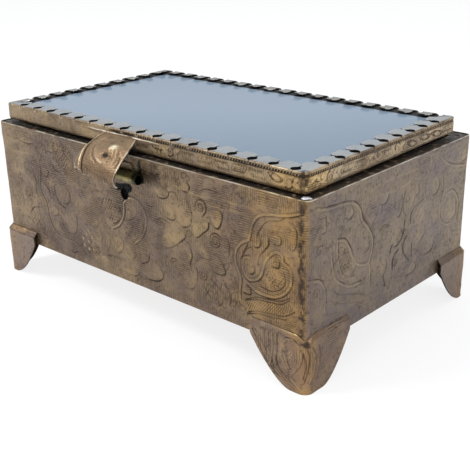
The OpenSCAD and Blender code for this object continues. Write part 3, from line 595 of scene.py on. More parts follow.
def fill(tree, sockets, values):
    """Links or sets a node's inputs: values are numbers, colours or sockets"""
    for socket, value in zip(sockets, values):
        if isinstance(value, bpy.types.NodeSocket):
            tree.links.new(value, socket)
        elif value is not None:
            socket.default_value = value


def figure(tree, operation, a, b=None):
    """One sum of a tree: a and b are numbers or sockets"""
    node = tree_node(tree, "ShaderNodeMath", operation=operation)
    fill(tree, node.inputs, (a, b))
    return node.outputs[0]


def times(tree, a, b):
    """a times b"""
    return figure(tree, "MULTIPLY", a, b)


def weighed(tree, *pairs):
    """Sum of sockets, each times its weight"""
    total = times(tree, *pairs[0])
    for pair in pairs[1:]:
        total = figure(tree, "ADD", total, times(tree, *pair))
    return total


def blend_colour(tree, share, a, b, way="MIX"):
    """Mixes two colours of a tree by a share that is a number or a socket"""
    node = tree_node(tree, "ShaderNodeMix", data_type="RGBA", blend_type=way, clamp_factor=True)
    fill(tree, (node.inputs[0], node.inputs[6], node.inputs[7]), (share, a, b))
    return node.outputs[2]


def spread(tree, value, lo, hi):
    """Stretches lo..hi of a value to 0..1, softly"""
    node = tree_node(tree, "ShaderNodeMapRange", interpolation_type="SMOOTHSTEP")
    fill(tree, node.inputs, (value, lo, hi))
    return node.outputs["Result"]


def noise(tree, scale, detail, rough=0.5, warp=0.0):
    """Soft noise fixed to the piece, of scale patches to the metre"""
    node = tree_node(tree, "ShaderNodeTexNoise", Scale=scale, Detail=detail, Roughness=rough, Distortion=warp)
    tree.links.new(tree_node(tree, "ShaderNodeTexCoord").outputs["Object"], node.inputs["Vector"])
    return node.outputs["Fac"]


def coordinates(tree):
    """The places of a point across, along and up, in metres"""
    apart = tree_node(tree, "ShaderNodeSeparateXYZ")
    tree.links.new(tree_node(tree, "ShaderNodeTexCoord").outputs["Object"], apart.inputs[0])
    return apart.outputs


def new_finish(name):
    """A fresh finish, its tree and its surface"""
    finish = bpy.data.materials.new(name)
    finish.use_nodes = True
    return finish, finish.node_tree, finish.node_tree.nodes["Principled BSDF"]


def roughen(tree, height, strength, distance):
    """Lets a height show as fine unevenness of the surface"""
    lift = tree_node(tree, "ShaderNodeBump", Strength=strength, Distance=distance)
    tree.links.new(height, lift.inputs["Height"])
    tree.links.new(lift.outputs[0], tree.nodes["Principled BSDF"].inputs["Normal"])


def aged_brass_group():
    """Old brass: stains, a hatched ground, dirt in the hollows, rubbed high spots, and their fine height"""
    tree = bpy.data.node_groups.new("aged_brass", "ShaderNodeTree")
    for way, kind, names in (
        ("INPUT", "Color", ("Clean", "Stain", "Deep")), ("INPUT", "Float", ("Relief", "Age", "Hatch")),
        ("OUTPUT", "Color", ("Color",)), ("OUTPUT", "Float", ("Roughness", "Height")),
    ):
        for name in names:
            tree.interface.new_socket(name, in_out=way, socket_type="NodeSocket" + kind)
    given = tree_node(tree, "NodeGroupInput").outputs
    out = tree_node(tree, "NodeGroupOutput").inputs
    broad, patch = noise(tree, 34, 2, 0.55), noise(tree, 150, 3, 0.6, 0.6)
    mottle, grit = noise(tree, 640, 3, 0.65), noise(tree, 2300, 2, 0.55)
    x, y, z = coordinates(tree)
    level = weighed(tree, (z, 7600), (patch, 9))
    across = weighed(tree, (x, 6900), (y, 6900), (patch, 14))
    turned = spread(tree, noise(tree, 75, 1, 0.55), 0.42, 0.58)
    straight = figure(tree, "SUBTRACT", 1.0, turned)
    lines = weighed(tree, (figure(tree, "SINE", level), turned), (figure(tree, "SINE", across), straight))
    lines = times(tree, lines, spread(tree, noise(tree, 110, 2, 0.55), 0.36, 0.6))
    ground = figure(tree, "ADD", times(tree, spread(tree, given["Relief"], 0.80, 0.56), 0.75), 0.25)
    hatch = times(tree, times(tree, lines, given["Hatch"]), ground)

    stain = spread(tree, weighed(tree, (broad, 0.6), (patch, 0.4)), 0.40, 0.62)
    dirt = spread(tree, weighed(tree, (given["Relief"], 1), (mottle, 0.22)), 0.56, 0.20)
    speck = spread(tree, weighed(tree, (mottle, 1), (grit, 0.25)), 0.66, 0.82)
    rub = spread(tree, weighed(tree, (given["Relief"], 1), (mottle, 0.5)), 0.95, 1.4)
    colour = blend_colour(tree, times(tree, stain, given["Age"]), given["Clean"], given["Stain"])
    hatched = times(tree, spread(tree, hatch, 0.05, 0.9), 0.5)
    for share in (hatched, dirt, times(tree, speck, times(tree, given["Age"], 0.6))):
        colour = blend_colour(tree, share, colour, given["Deep"])
    colour = blend_colour(tree, times(tree, rub, 0.5), colour, (0.70, 0.60, 0.43, 1))
    rough = figure(tree, "ADD", weighed(tree, (mottle, 0.25), (dirt, 0.3), (rub, -0.08)), 0.26)
    height = weighed(tree, (mottle, 1.1), (grit, 0.4), (hatch, -0.3))
    fill(tree, out, (colour, rough, height))
    return tree


AGED_BRASS = aged_brass_group()


def brass(name, clean, stain, deep, marks=(), age=1.0, metal=0.75, bump=0.8, relief=0.6, hatch=0.0, dull=0.0):
    """A brass finish. marks are the piece's own marks that it reads, such as relief, leaf, gold or streak"""
    finish, tree, shader = new_finish(name)
    group = tree_node(
        tree, "ShaderNodeGroup", node_tree=AGED_BRASS, Clean=(*clean, 1), Stain=(*stain, 1), Deep=(*deep, 1),
        Relief=relief, Age=age, Hatch=hatch,
    )
    read = {
        mark: tree_node(tree, "ShaderNodeAttribute", attribute_name=mark).outputs["Fac"] for mark in marks
    }
    colour = group.outputs["Color"]
    # Over the colour go the piece's marks: a pale blue-grey on the lid's tabs as a painted reflection of the
    # sky, painted highlights, lighter raised leaves, a golden tint, black for the wall's hole with painted
    # shade in it and a painted shadow beside it, and dark grime together with painted shade.
    for mark, share, paint, way in (
        ("tab", 0.88, (0.43, 0.465, 0.49, 1), "MIX"), ("glint", 1.0, (0.80, 0.76, 0.66, 1), "MIX"),
        ("leaf", 1.0, (1.30, 1.30, 1.12, 1), "MULTIPLY"), ("gold", 0.85, (1.42, 1.23, 0.79, 1), "MULTIPLY"),
        ("hole", 1.0, (0.002, 0.002, 0.002, 1), "MIX"), ("streak", 0.95, (0.034, 0.020, 0.012, 1), "MIX"),
    ):
        if mark in read:
            colour = blend_colour(tree, times(tree, read[mark], share), colour, paint, way)
    tree.links.new(colour, shader.inputs["Base Color"])
    if "relief" in read:
        tree.links.new(read["relief"], group.inputs["Relief"])
    if "hole" in read:
        shine = times(tree, figure(tree, "SUBTRACT", 1.0, read["hole"]), 0.5)
        tree.links.new(shine, shader.inputs["Specular IOR Level"])
    shader.inputs["Metallic"].default_value = metal
    tree.links.new(figure(tree, "ADD", group.outputs["Roughness"], dull), shader.inputs["Roughness"])
    roughen(tree, group.outputs["Height"], bump, 0.0002)
    return finish


FOOT_MARKS = ("relief", "leaf", "glint", "streak", "gold")
WALL_MARKS = (*FOOT_MARKS, "hole")
stamped_brass = brass(
    "stamped_brass", (0.218, 0.151, 0.086), (0.138, 0.095, 0.070), (0.032, 0.019, 0.012),
    WALL_MARKS, bump=0.9, hatch=1.45,
)
side_brass = brass(
    "side_brass", (0.198, 0.149, 0.105), (0.140, 0.107, 0.101), (0.036, 0.026, 0.021), WALL_MARKS, hatch=0.7,
)


def front_wear(u, z):
    """The front is rubbed nearly flat at its left end"""
    return np.clip(0.45 + (u + 78) / 34, 0.45, 1)


def side_wear(u, z):
    """The sides are a little shallower than the front"""
    return 0.85 + 0 * u


for name, length, half, quarter, die_of, worn, finish in (
    ("front_wall", BODY_W, BODY_D / 2, 0, long_wall_die, front_wear, stamped_brass),
    ("right_wall", BODY_D, BODY_W / 2, 1, short_wall_die, side_wear, side_brass),
    ("back_wall", BODY_W, BODY_D / 2, 2, long_wall_die, side_wear, stamped_brass),
    ("left_wall", BODY_D, BODY_W / 2, 3, short_wall_die, side_wear, side_brass),
):
    wall = press_wall("stamped_" + name, length, half, quarter, die_of, worn)
    wall.data.materials.append(finish)
    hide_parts(name)
    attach(wall, "box")

# ---------------------------------------------------------------------------------------------
# Feet. Four L-shaped brackets of thicker sheet, cut to a tapering leg on each side and bent round
# the corner. The top edge is turned in to the wall and soldered, and shows as a golden slope, on the
# front leg painted lighter as a painted highlight, with a line of painted shade under it.
# The near foot's lip is crushed at the corner, and the other feet have sprung away from the wall.
FOOT_OUT = 1.1
FOOT_R = CORNER_R + FOOT_OUT
FOOT_T = 0.7
LIP = 1.9
LIP_IN = 0.95
DIE_STEP = 0.36
DIE_LEFT = 24


def foot_die(s, z):
    """Stamping of a foot: fringed strips, a hatched almond leaf by the corner, a few lines on the side leg"""
    die = blank_die(s, z)
    for line in (
        [(-5.1, 18.6), (-7.2, 15.6), (-7.2, 11.4), (-5.6, 8.2), (-3.6, 5.6), (-1.4, 3.4), (1, 1.5)],
        [(-5.1, 18.6), (-2.4, 19), (0.2, 17.4), (0.9, 14), (0.2, 11), (-1.6, 8.2), (-3.6, 5.6)],
        [(-11.6, 18.8), (-11.2, 14), (-11.8, 9.6), (-12.6, 6.6)],
        [(4.8, 17), (6.6, 12.6), (6, 8), (3.6, 4)], [(12.6, 18), (13.4, 13.6), (16.6, 11)],
    ):
        cord_line(die, line)
    for line in (
        [(-20, 17.6), (-17.4, 13.8), (-14.6, 9.4), (-11.4, 5.8), (-8, 3.6)], [(-18.6, 18), (-17, 15.4)],
        [(-9, 18.8), (-8.8, 14.6), (-9.2, 10), (-8, 6.8), (-5.4, 4.4), (-1, 2)],
        [(-5.2, 16.4), (-4.8, 12.4), (-3.2, 8)],
        [(-2.6, 17.2), (-2, 13.4), (-2.8, 10)], [(-6.6, 13), (-5, 14.2), (-3.2, 16.6)],
        [(-6.6, 9.8), (-4.4, 10.6), (-1.6, 13.4)],
        [(-5.2, 7), (-2.8, 8.6), (-0.6, 11.2)], [(1.6, 16), (2.8, 11), (1.8, 6)],
        [(8.6, 17), (9.6, 13), (9, 8.6), (7.6, 5.6)],
        [(10.6, 9), (12, 7.4)], [(15.6, 18), (18, 15.6), (20, 15.2)],
        [(2.6, 18), (4, 14.4), (3.6, 9.4), (2, 4)],
    ):
        chase(die, line, 0.4, -0.32)
    for line, half, pitch in (
        ([(-10, 18.6), (-9.9, 14), (-10.4, 9.8), (-9.8, 6.4)], 0.8, 0.95),
        ([(-6.2, 17), (-6.3, 12.6), (-4.6, 8.2)], 0.7, 0.9),
        ([(-0.5, 16.8), (-0.4, 12.6), (-2, 8.8)], 0.7, 0.9),
        ([(-17.8, 16.6), (-15.4, 12), (-12.8, 7.8)], 0.9, 1.05),
        ([(-13.8, 18.4), (-13.4, 14), (-12.6, 10)], 0.9, 0.9),
        ([(-7.6, 5.6), (-4.6, 3.4), (-1, 1.4)], 0.6, 0.9),
    ):
        fringe(die, line, half, pitch)
    scale_patch(die, [(-4.6, 16.2), (-2.2, 16.8), (-1.2, 13), (-2.6, 9.4), (-4, 10.4)], 1.2)
    return die


def read_die(heights, col, row):
    """Heights between the columns and rows of a stamping"""
    i, j = col.astype(int), row.astype(int)
    fi, fj = col - i, row - j
    low = heights[j, i] * (1 - fi) + heights[j, i + 1] * fi
    high = heights[j + 1, i] * (1 - fi) + heights[j + 1, i + 1] * fi
    return low * (1 - fj) + high * fj


def bent_foot(name, legs, tips, seed, worn, apart, crushed):
    """A foot at the right front corner: legs and tips are its widths along the front and the side, in mm.

    worn is how much stamping is left, apart how far it is sprung away from the wall below its lip
    """
    levels = np.concatenate([np.linspace(0, FOOT_TOP - LIP, 72), np.linspace(FOOT_TOP - 1.6, FOOT_TOP, 6)])
    share = np.clip(levels / WALL_Z0, 0, 1) ** 0.62
    arc = FOOT_R * math.pi / 2
    ends = []
    for leg, tip in zip(legs, tips):
        short = FOOT_R - (tip + (leg - tip) * share)
        ends.append(np.where(short <= 0, short, FOOT_R * np.arcsin(np.clip(short / FOOT_R, 0, 1))))
    run = (arc - ends[1] - ends[0])[:, None]
    f = np.linspace(0, 1, 150)[None, :]
    s = ends[0][:, None] + f * run
    zz = np.broadcast_to(levels[:, None], s.shape)
    die = foot_die(np.arange(-DIE_LEFT, 30, DIE_STEP), np.arange(0, FOOT_TOP + 0.4, DIE_STEP))
    rows, cols = die["boss"].shape
    col = np.clip((s + DIE_LEFT) / DIE_STEP, 0, cols - 1.01)
    row = np.clip(zz / DIE_STEP, 0, rows - 1.01)
    stamp = read_die(pressed(die), col, row) * worn * np.clip(1 - (s - arc) / 14, 0.45, 1)
    leaf = 0.45 * die["leaf"][row.astype(int), col.astype(int)] * worn

    def patches(size, number):
        return cloud(s + 30, zz, size, seed + number)

    dents = 0.1 * patches(7, 0) + 0.05 * patches(2, 1)
    slope = np.clip((zz - (FOOT_TOP - LIP)) / LIP, 0, 1)
    edge = np.clip(np.minimum.reduce([f * run, (1 - f) * run, zz + 0.2]) / 0.8, 0, 1)
    push = (0.45 * stamp + dents - 0.06) * edge * (1 - slope) - LIP_IN * slope
    from_corner = s - arc / 2
    dip = np.exp(-(((from_corner + 0.4) / 2.8) ** 2)) * np.clip((zz - 12) / (FOOT_TOP - 12), 0, 1) ** 2
    sunk = zz - 1.6 * crushed * dip

    def placed(push):
        """Points of the bent sheet, pushed outwards by so much"""
        push = push + apart * (1 - slope)
        turn = np.clip(s / FOOT_R, 0, math.pi / 2)
        nx, ny = np.sin(turn), -np.cos(turn)
        x = -FOOT_R + FOOT_R * nx + nx * push + np.minimum(s, 0)
        y = FOOT_R + FOOT_R * ny + ny * push + np.maximum(s - arc, 0)
        return np.stack([x, y, sunk], -1)

    on_front = np.clip((2 - s) / 4, 0.1, 1)
    # the crushed corner of the lip is painted darker
    crumple = np.exp(-(((from_corner - 0.2) / 2.4) ** 2) - ((zz - FOOT_TOP + LIP) / 1.7) ** 2)
    streak = np.clip(crumple * 1.7 + 0.6 * patches(0.9, 2) - 0.5, 0, 1) * crushed
    # a line just under the lip on the front leg is painted shade, and the slope above it is painted lighter
    # and more golden as a painted highlight
    below = np.exp(-(((zz - FOOT_TOP + LIP + 0.2) / 0.45) ** 2)) * np.clip(0.6 + patches(3, 5), 0, 0.8)
    below = 0.7 * below * on_front
    relief = np.clip(0.51 + stamp * 1.4 + dents, 0, 1) - 0.3 * below + 0.25 * slope * on_front
    gold = 0.9 * slope * on_front + 0.85 - abs(from_corner) / 13 + 0.35 * patches(4, 3)
    glint = slope * on_front * np.clip(0.02 + 0.14 * patches(2.4, 6), 0, 0.14)
    marks = {
        "relief": np.clip(relief, 0, 1), "streak": np.maximum(streak, 0.5 * below),
        "gold": np.clip(gold, 0, 1), "leaf": leaf, "glint": glint,
    }
    return closed_sheet(name, placed(push), placed(np.maximum(-FOOT_T - LIP_IN * slope, -1.04)), marks)


dull_foot_brass = brass(
    "dull_foot_brass", (0.185, 0.132, 0.100), (0.130, 0.092, 0.078), (0.033, 0.021, 0.014),
    FOOT_MARKS, hatch=0.6,
)
foot_brass = brass(
    "foot_brass", (0.262, 0.183, 0.114), (0.172, 0.118, 0.092), (0.033, 0.021, 0.014), FOOT_MARKS, hatch=1.0,
)
for name, mirror_x, mirror_y, legs, tips, worn, apart, crushed, finish in (
    ("foot_front_right", 1, 1, (24.4, 23.8), (7, 9.2), 0.85, 0, True, foot_brass),
    ("foot_front_left", -1, 1, (20.5, 20.5), (5, 8.6), 0.12, 0.95, False, dull_foot_brass),
    ("foot_back_right", 1, -1, (20.5, 20.5), (3, 4.6), 0.4, 0.8, False, dull_foot_brass),
    ("foot_back_left", -1, -1, (20.5, 20.5), (2.4, 2.4), 0.7, 0.4, False, dull_foot_brass),
):
    foot = bent_foot("bent_" + name, legs, tips, 60 + 10 * mirror_x + mirror_y, worn, apart, crushed)
    x, y = mirror_x * (BODY_W / 2 + FOOT_OUT), MID_Y - mirror_y * (BODY_D / 2 + FOOT_OUT)
    foot.data.transform(Matrix.Translation((x * MM, y * MM, 0)) @ Matrix.Diagonal((mirror_x, mirror_y, 1, 1)))
    if mirror_x * mirror_y < 0:
        foot.data.flip_normals()
    foot.data.materials.append(finish)
    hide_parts(name)
    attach(foot, "box")

# ---------------------------------------------------------------------------------------------
# Ledge, floor sheet, keeper and hinges. Plain strips and leaves of the same brass, cut, bent and
# rolled by hand and soldered in place, left rough and blackened by the torch and the pickle. The
# ledge under the lid is painted near-black, as painted shade of the lid together with that soot, and
# the keeper's bore and right end are painted black as painted shade. Four flat lumps of tin solder
# hold the ledge's mitres; the near one is still bright.
# near-black: painted shade under the lid, together with soot
sooty_brass = brass(
    "sooty_brass", (0.030, 0.022, 0.017), (0.010, 0.008, 0.006), (0.004, 0.003, 0.003),
    metal=0.4, bump=1.0, relief=0.55,
)
plain_brass = brass("plain_brass", (0.22, 0.16, 0.11), (0.12, 0.085, 0.065), (0.03, 0.02, 0.014), metal=0.8)
keeper_brass = brass(
    "keeper_brass", (0.26, 0.22, 0.085), (0.10, 0.08, 0.03), (0.012, 0.009, 0.006),
    metal=0.8, bump=1.0, relief=0.5,
)
pin_wire = brass(
    "pin_wire", (0.40, 0.30, 0.18), (0.24, 0.17, 0.10), (0.08, 0.055, 0.035),
    age=0.8, metal=0.9, bump=0.3, relief=0.75,
)
tin_solder = brass(
    "tin_solder", (0.09, 0.08, 0.075), (0.05, 0.045, 0.04), (0.02, 0.018, 0.016), metal=0.6, bump=1.2,
)


def over_colour(finish, share, colour):
    """Lays a colour over a finish by a share of its tree"""
    tree = finish.node_tree
    shown = tree.nodes["Principled BSDF"].inputs["Base Color"]
    tree.links.new(blend_colour(tree, share, shown.links[0].from_socket, colour), shown)


def patch_colour(finish, centre, near, far, colour, share, axes):
    """Lays a colour over a finish round a line along the third axis: all within near, none beyond far"""
    tree = finish.node_tree
    place = coordinates(tree)
    squares = [
        figure(tree, "POWER", figure(tree, "SUBTRACT", place[k], c * MM), 2) for k, c in zip(axes, centre)
    ]
    mask = spread(tree, figure(tree, "SQRT", figure(tree, "ADD", *squares)), far * MM, near * MM)
    over_colour(finish, times(tree, mask, share), colour)


ROLL_Y, ROLL_Z = -47.325, 59.8
# the keeper's bore and its right end are painted black as painted shade; the strap above is browned to the
# wall's colour
for centre, near, far, colour, share, axes in (
    ((ROLL_Y, ROLL_Z), 1.55, 1.9, (0.002, 0.002, 0.002, 1), 1.0, (1, 2)),
    ((ROLL_Y + 1.625, ROLL_Z + 6.2), 3.6, 5.0, (0.15, 0.11, 0.075, 1), 0.85, (1, 2)),
    ((8.2, ROLL_Y - 0.175), 2.2, 3.6, (0.004, 0.004, 0.003, 1), 0.92, (0, 1)),
):
    patch_colour(keeper_brass, centre, near, far, colour, share, axes)
flecks = spread(sooty_brass.node_tree, noise(sooty_brass.node_tree, 420, 2), 0.57, 0.66)
over_colour(sooty_brass, flecks, (0.20, 0.14, 0.085, 1))
for finish, slot, names in (
    (sooty_brass, "plain_brass", ("ledge_front", "ledge_back", "ledge_left", "ledge_right")),
    (plain_brass, "plain_brass", ("floor_plate",)),
    (plain_brass, "plain_brass", ("bearer_front", "bearer_back", "bearer_left", "bearer_right")),
    (plain_brass, "plain_brass", ("hinge_leaf_left", "hinge_leaf_right", "lid_leaf_left", "lid_leaf_right")),
    (keeper_brass, "plain_brass", ("latch_keeper",)),
    (pin_wire, "clean_brass", ("hinge_pin_left", "hinge_pin_right")),
):
    for name in names:
        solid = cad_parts[name]
        solid.data.materials.clear()
        solid.data.materials.append(finish)


def closed_body(name, shape, weld, finish):
    """Welds loose faces to a closed body and sets it down"""
    bmesh.ops.remove_doubles(shape, verts=shape.verts, dist=weld)
    bmesh.ops.recalc_face_normals(shape, faces=shape.faces)
    mesh = bpy.data.meshes.new(name)
    shape.to_mesh(mesh)
    shape.free()
    mesh.shade_smooth()
    mesh.materials.append(finish)
    return set_down(name, mesh)


LUMP_R = 1.6
LUMP_HIGH = 0.45
lo, hi = (np.array(v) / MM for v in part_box("ledge_solder"))
patch_colour(tin_solder, (hi[0] - 2, lo[1] + 2), 3, 5, (0.62, 0.60, 0.64, 1), 0.9, (0, 1))
shape = bmesh.new()
turns = np.radians(np.arange(0, 360, 15))
corners = (
    (hi[0] - 2.2, lo[1] + 2.2), (lo[0] + 2.6, lo[1] + 2.6),
    (hi[0] - 2.6, hi[1] - 2.6), (lo[0] + 2.6, hi[1] - 2.6),
)
for k, (x, y) in enumerate(corners):
    wide = LUMP_R + 0.25 * np.sin(2 * turns + k) + 0.2 * np.sin(3 * turns + 2 * k)
    wide += 0.12 * np.sin(5 * turns + k)
    rings = []
    for steep in np.linspace(0, math.pi / 2, 9):
        r = wide * math.sin(steep)
        high = lo[2] + LUMP_HIGH * math.cos(steep) * (1 - 0.2 * math.sin(steep) * np.sin(3 * turns + k))
        ring = np.stack([x + r * np.cos(turns), y + 0.8 * r * np.sin(turns), high], -1) * MM
        rings.append([shape.verts.new(p) for p in ring])
    for low, high in zip(rings[:-1], rings[1:]):
        for a in range(len(turns)):
            after = (a + 1) % len(turns)
            shape.faces.new((low[a], high[a], high[after], low[after]))
    shape.faces.new(rings[-1][::-1])
lumps = closed_body("solder_lumps", shape, 1e-6, tin_solder)
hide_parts("ledge_solder")
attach(lumps, "box")

# ---------------------------------------------------------------------------------------------
# Lining. Five thin boards padded with wadding and covered in dark red cotton velvet, the cloth
# drawn round the edges and glued behind, so that every edge is soft and a little uneven.
velvet, tree, shader = new_finish("red_velvet")
nap = noise(tree, 90, 4, 0.65)
tone = blend_colour(tree, spread(tree, nap, 0.35, 0.68), (0.055, 0.004, 0.009, 1), (0.13, 0.012, 0.02, 1))
tree.links.new(tone, shader.inputs["Base Color"])
shader.inputs["Roughness"].default_value = 0.95
shader.inputs["Sheen Weight"].default_value = 0.8
shader.inputs["Sheen Roughness"].default_value = 0.4
shader.inputs["Sheen Tint"].default_value = (0.75, 0.25, 0.28, 1)
roughen(tree, figure(tree, "ADD", noise(tree, 5200, 1), nap), 0.5, 0.0003)


def board_cuts(half, soft):
    """Places along one axis of a board, closer over its rounded edges"""
    edge = half - np.array((0, 0.3, 0.65)) * soft
    flat = np.linspace(-half + soft, half - soft, max(2, int(2 * half / 2.6)))
    return np.concatenate([-edge, flat, edge[::-1]])


def covered_board(name, node, seed):
    """A board padded out to the room of its plain shape, with rounded, slightly wavy edges"""
    lo, hi = (np.array(v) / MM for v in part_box(node))
    mid, half = (lo + hi) / 2, (hi - lo) / 2
    soft = min(1.1, 0.45 * half.min())
    cuts = [board_cuts(h, soft) for h in half]
    shape = bmesh.new()
    for axis in range(3):
        a, b = (axis + 1) % 3, (axis + 2) % 3
        for side in (-1, 1):
            uu, vv = np.meshgrid(cuts[a], cuts[b], indexing="ij")
            p = np.zeros(uu.shape + (3,))
            p[..., a], p[..., b], p[..., axis] = uu, vv, side * half[axis]
            core = np.clip(p, -half + soft, half - soft)
            away = p - core
            p = core + away / np.maximum(np.linalg.norm(away, axis=-1, keepdims=True), 1e-9) * soft
            from_edge = np.minimum(half[a] - abs(uu), half[b] - abs(vv))
            wave = cloud(uu + 100, vv + 100, 9, seed + axis) * np.clip(from_edge / 3, 0, 1)
            p[..., axis] -= side * (0.16 + 0.14 * wave)
            made = [shape.verts.new(q) for q in (p + mid).reshape(-1, 3) * MM]
            for ring in grid_faces(np.arange(len(made)).reshape(uu.shape)):
                shape.faces.new([made[n] for n in ring[::-side]])
    board = closed_body(name, shape, 2e-4, velvet)
    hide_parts(node)
    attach(board, "box")


for seed, node in enumerate(("liner_floor", "liner_front", "liner_back", "liner_left", "liner_right")):
    covered_board("covered_" + node, node, 200 + 5 * seed)

# ---------------------------------------------------------------------------------------------
# Lid bands. Four strips of stamped brass, mitred at the corners: the lower edge is rolled in, and
# the upper edge is punched with keyhole notches, so that it folds over the glass as separate tabs.
# The lower edge hangs deepest at the near corner, and the far tabs are torn and have lifted.
LID_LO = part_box("bezel_left")[0] / MM
LID_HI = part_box("bezel_right")[1] / MM
LID_Y0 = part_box("bezel_front")[0].y / MM
LID_Y1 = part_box("bezel_back")[1].y / MM
LID_Z0, LID_Z1 = LID_LO.z, LID_HI.z
LID_R = 2.0
FOLD = 0.75
CREST = LID_Z1 - FOLD
BAND_T = 0.5
NOTCH_R = 1.75
NOTCH_IN = 2.1
TAB_ROWS = (
    0.95, 1.2, 1.5, 1.8, 2.1, 2.4, 2.7, 3.0, 3.25, 3.45, 3.6, 3.72, 3.83,
    4.3, 4.8, 5.3, 5.7, 6.1, 6.4, 6.7, 6.9, 7.0,
)
BAND_STEP = 0.24


def band_die(length, seed, keep_clear):
    """Stamping of a band face: a running scroll of leaves, curls and hatched blocks between two lines"""
    chance = np.random.default_rng(seed)
    die = blank_die(np.arange(-length / 2, length / 2, BAND_STEP), np.arange(0, 6.4, BAND_STEP))
    x = -length / 2 + 3
    up = 1
    while x < length / 2 - 4:
        kind = chance.integers(0, 4)
        wide = chance.uniform(6, 9)
        mid = 2.75 + 0.3 * up
        if kind == 0:
            scroll = ((0, 0.9), (0.3, 1.3), (0.8, 0.5), (1, -0.2), (0.75, -1.1), (0.3, -0.6), (0, 0.9))
            chase(die, [(x + wide * a, mid + b) for a, b in scroll], 0.3, -0.2)
            petal(die, x + wide * 0.55, mid, wide * 0.3, 0.8, -12, 0.2, 0.2, 0.16, 0)
        elif kind == 1:
            rosette(die, x + 1.8, mid, 1.75, 1.3, chance.uniform(0, 360))
            petal(die, x + 5, mid + 0.5 * up, 2.2, 0.95, 20 * up, 0.3, 0.2, 0.17, 0)
            petal(die, x + 4.6, mid - 1.1 * up, 1.3, 0.7, -35 * up, 0.3, 0.2, 0.17, 0)
            wide = 7.4
        elif kind == 2:
            for k in range(5):
                across = x + 0.8 + 1.2 * k + 0.15 * (k % 2)
                petal(die, across, mid + 0.2, 1.2, 0.5, 52 * up, 0.2, 0.18, 0.15, 0)
            wide = 7.2
        else:
            t = np.linspace(0, 2 * math.pi, 12)
            chase(die, np.stack([x + 0.5 + t * 1.05, mid + 1.1 * up * np.sin(t)], 1), 0.34, 0.26)
            for k in (1.6, 3.9, 6.0):
                petal(die, x + k, mid - up * math.sin(k * 0.95), 1.1, 0.7, 40 * up, 0.3, 0.2, 0.17, 0)
            wide = 7.4
        x += wide + 0.5
        up = -up
    for s, deep in ((0.7, 0.14), (4.55, 0.12), (4.95, 0.42), (5.25, 0.42)):
        chase(die, [(-length / 2, s), (0, s + 0.05), (length / 2, s)], 0.3, -deep)
    if keep_clear:
        # worn left of the latch, and flat where the latch's crossbar lies
        u = die["u"][None, :]
        part = 1 - np.clip(1.4 - np.maximum(abs(u - keep_clear) - 20, 0) / 1.5, 0, 1)
        worn = 0.3 + 0.7 * np.clip((u - keep_clear + 8) / 6, 0, 1)
        for k in LAYERS:
            die[k] *= worn
        for k in ("boss", "ridge"):
            die[k] *= part
    return die


def band_rows():
    """The rows of points across a band, from the rolled edge up and over: depth, height and way outwards"""
    bend = np.radians((18, 36, 54, 72, 90))
    rows = [(d, LID_Z0, 0, -1) for d in (3.0, 2.5, 2.0, 1.5, 1.0)]
    rows += [(1 - math.sin(a), LID_Z0 + 1 - math.cos(a), -math.sin(a), -math.cos(a)) for a in bend]
    rows += [(0, z, -1, 0) for z in np.linspace(LID_Z0 + 1.25, CREST, 17)]
    rows += [(FOLD - FOLD * math.cos(a), CREST + FOLD * math.sin(a), -math.cos(a), math.sin(a)) for a in bend]
    rows += [(d, LID_Z1, 0, 1) for d in TAB_ROWS]
    return (np.array(v)[:, None] for v in zip(*rows))


def round_corner(side, reach, plan, nd, d):
    """Carries a band's rows round its rounded corner to the mitre; side is -1 for its left end"""
    turn = np.radians(np.linspace(45, 0, 5)[:-1] if side < 0 else np.linspace(0, 45, 5)[1:])
    rho = np.maximum(LID_R - d, 0)
    bx = side * (reach[:, None] + rho * np.sin(turn))
    by = np.where(d < LID_R, LID_R - rho * np.cos(turn), d + 0 * turn)
    bn = np.where(d < LID_R, 1.0, 0) * side * np.sin(turn) * -nd
    bd = np.where(d < LID_R, np.cos(turn), 1) * nd
    return [np.hstack(pair if side < 0 else pair[::-1]) for pair in zip((bx, by, bn, bd), plan)]


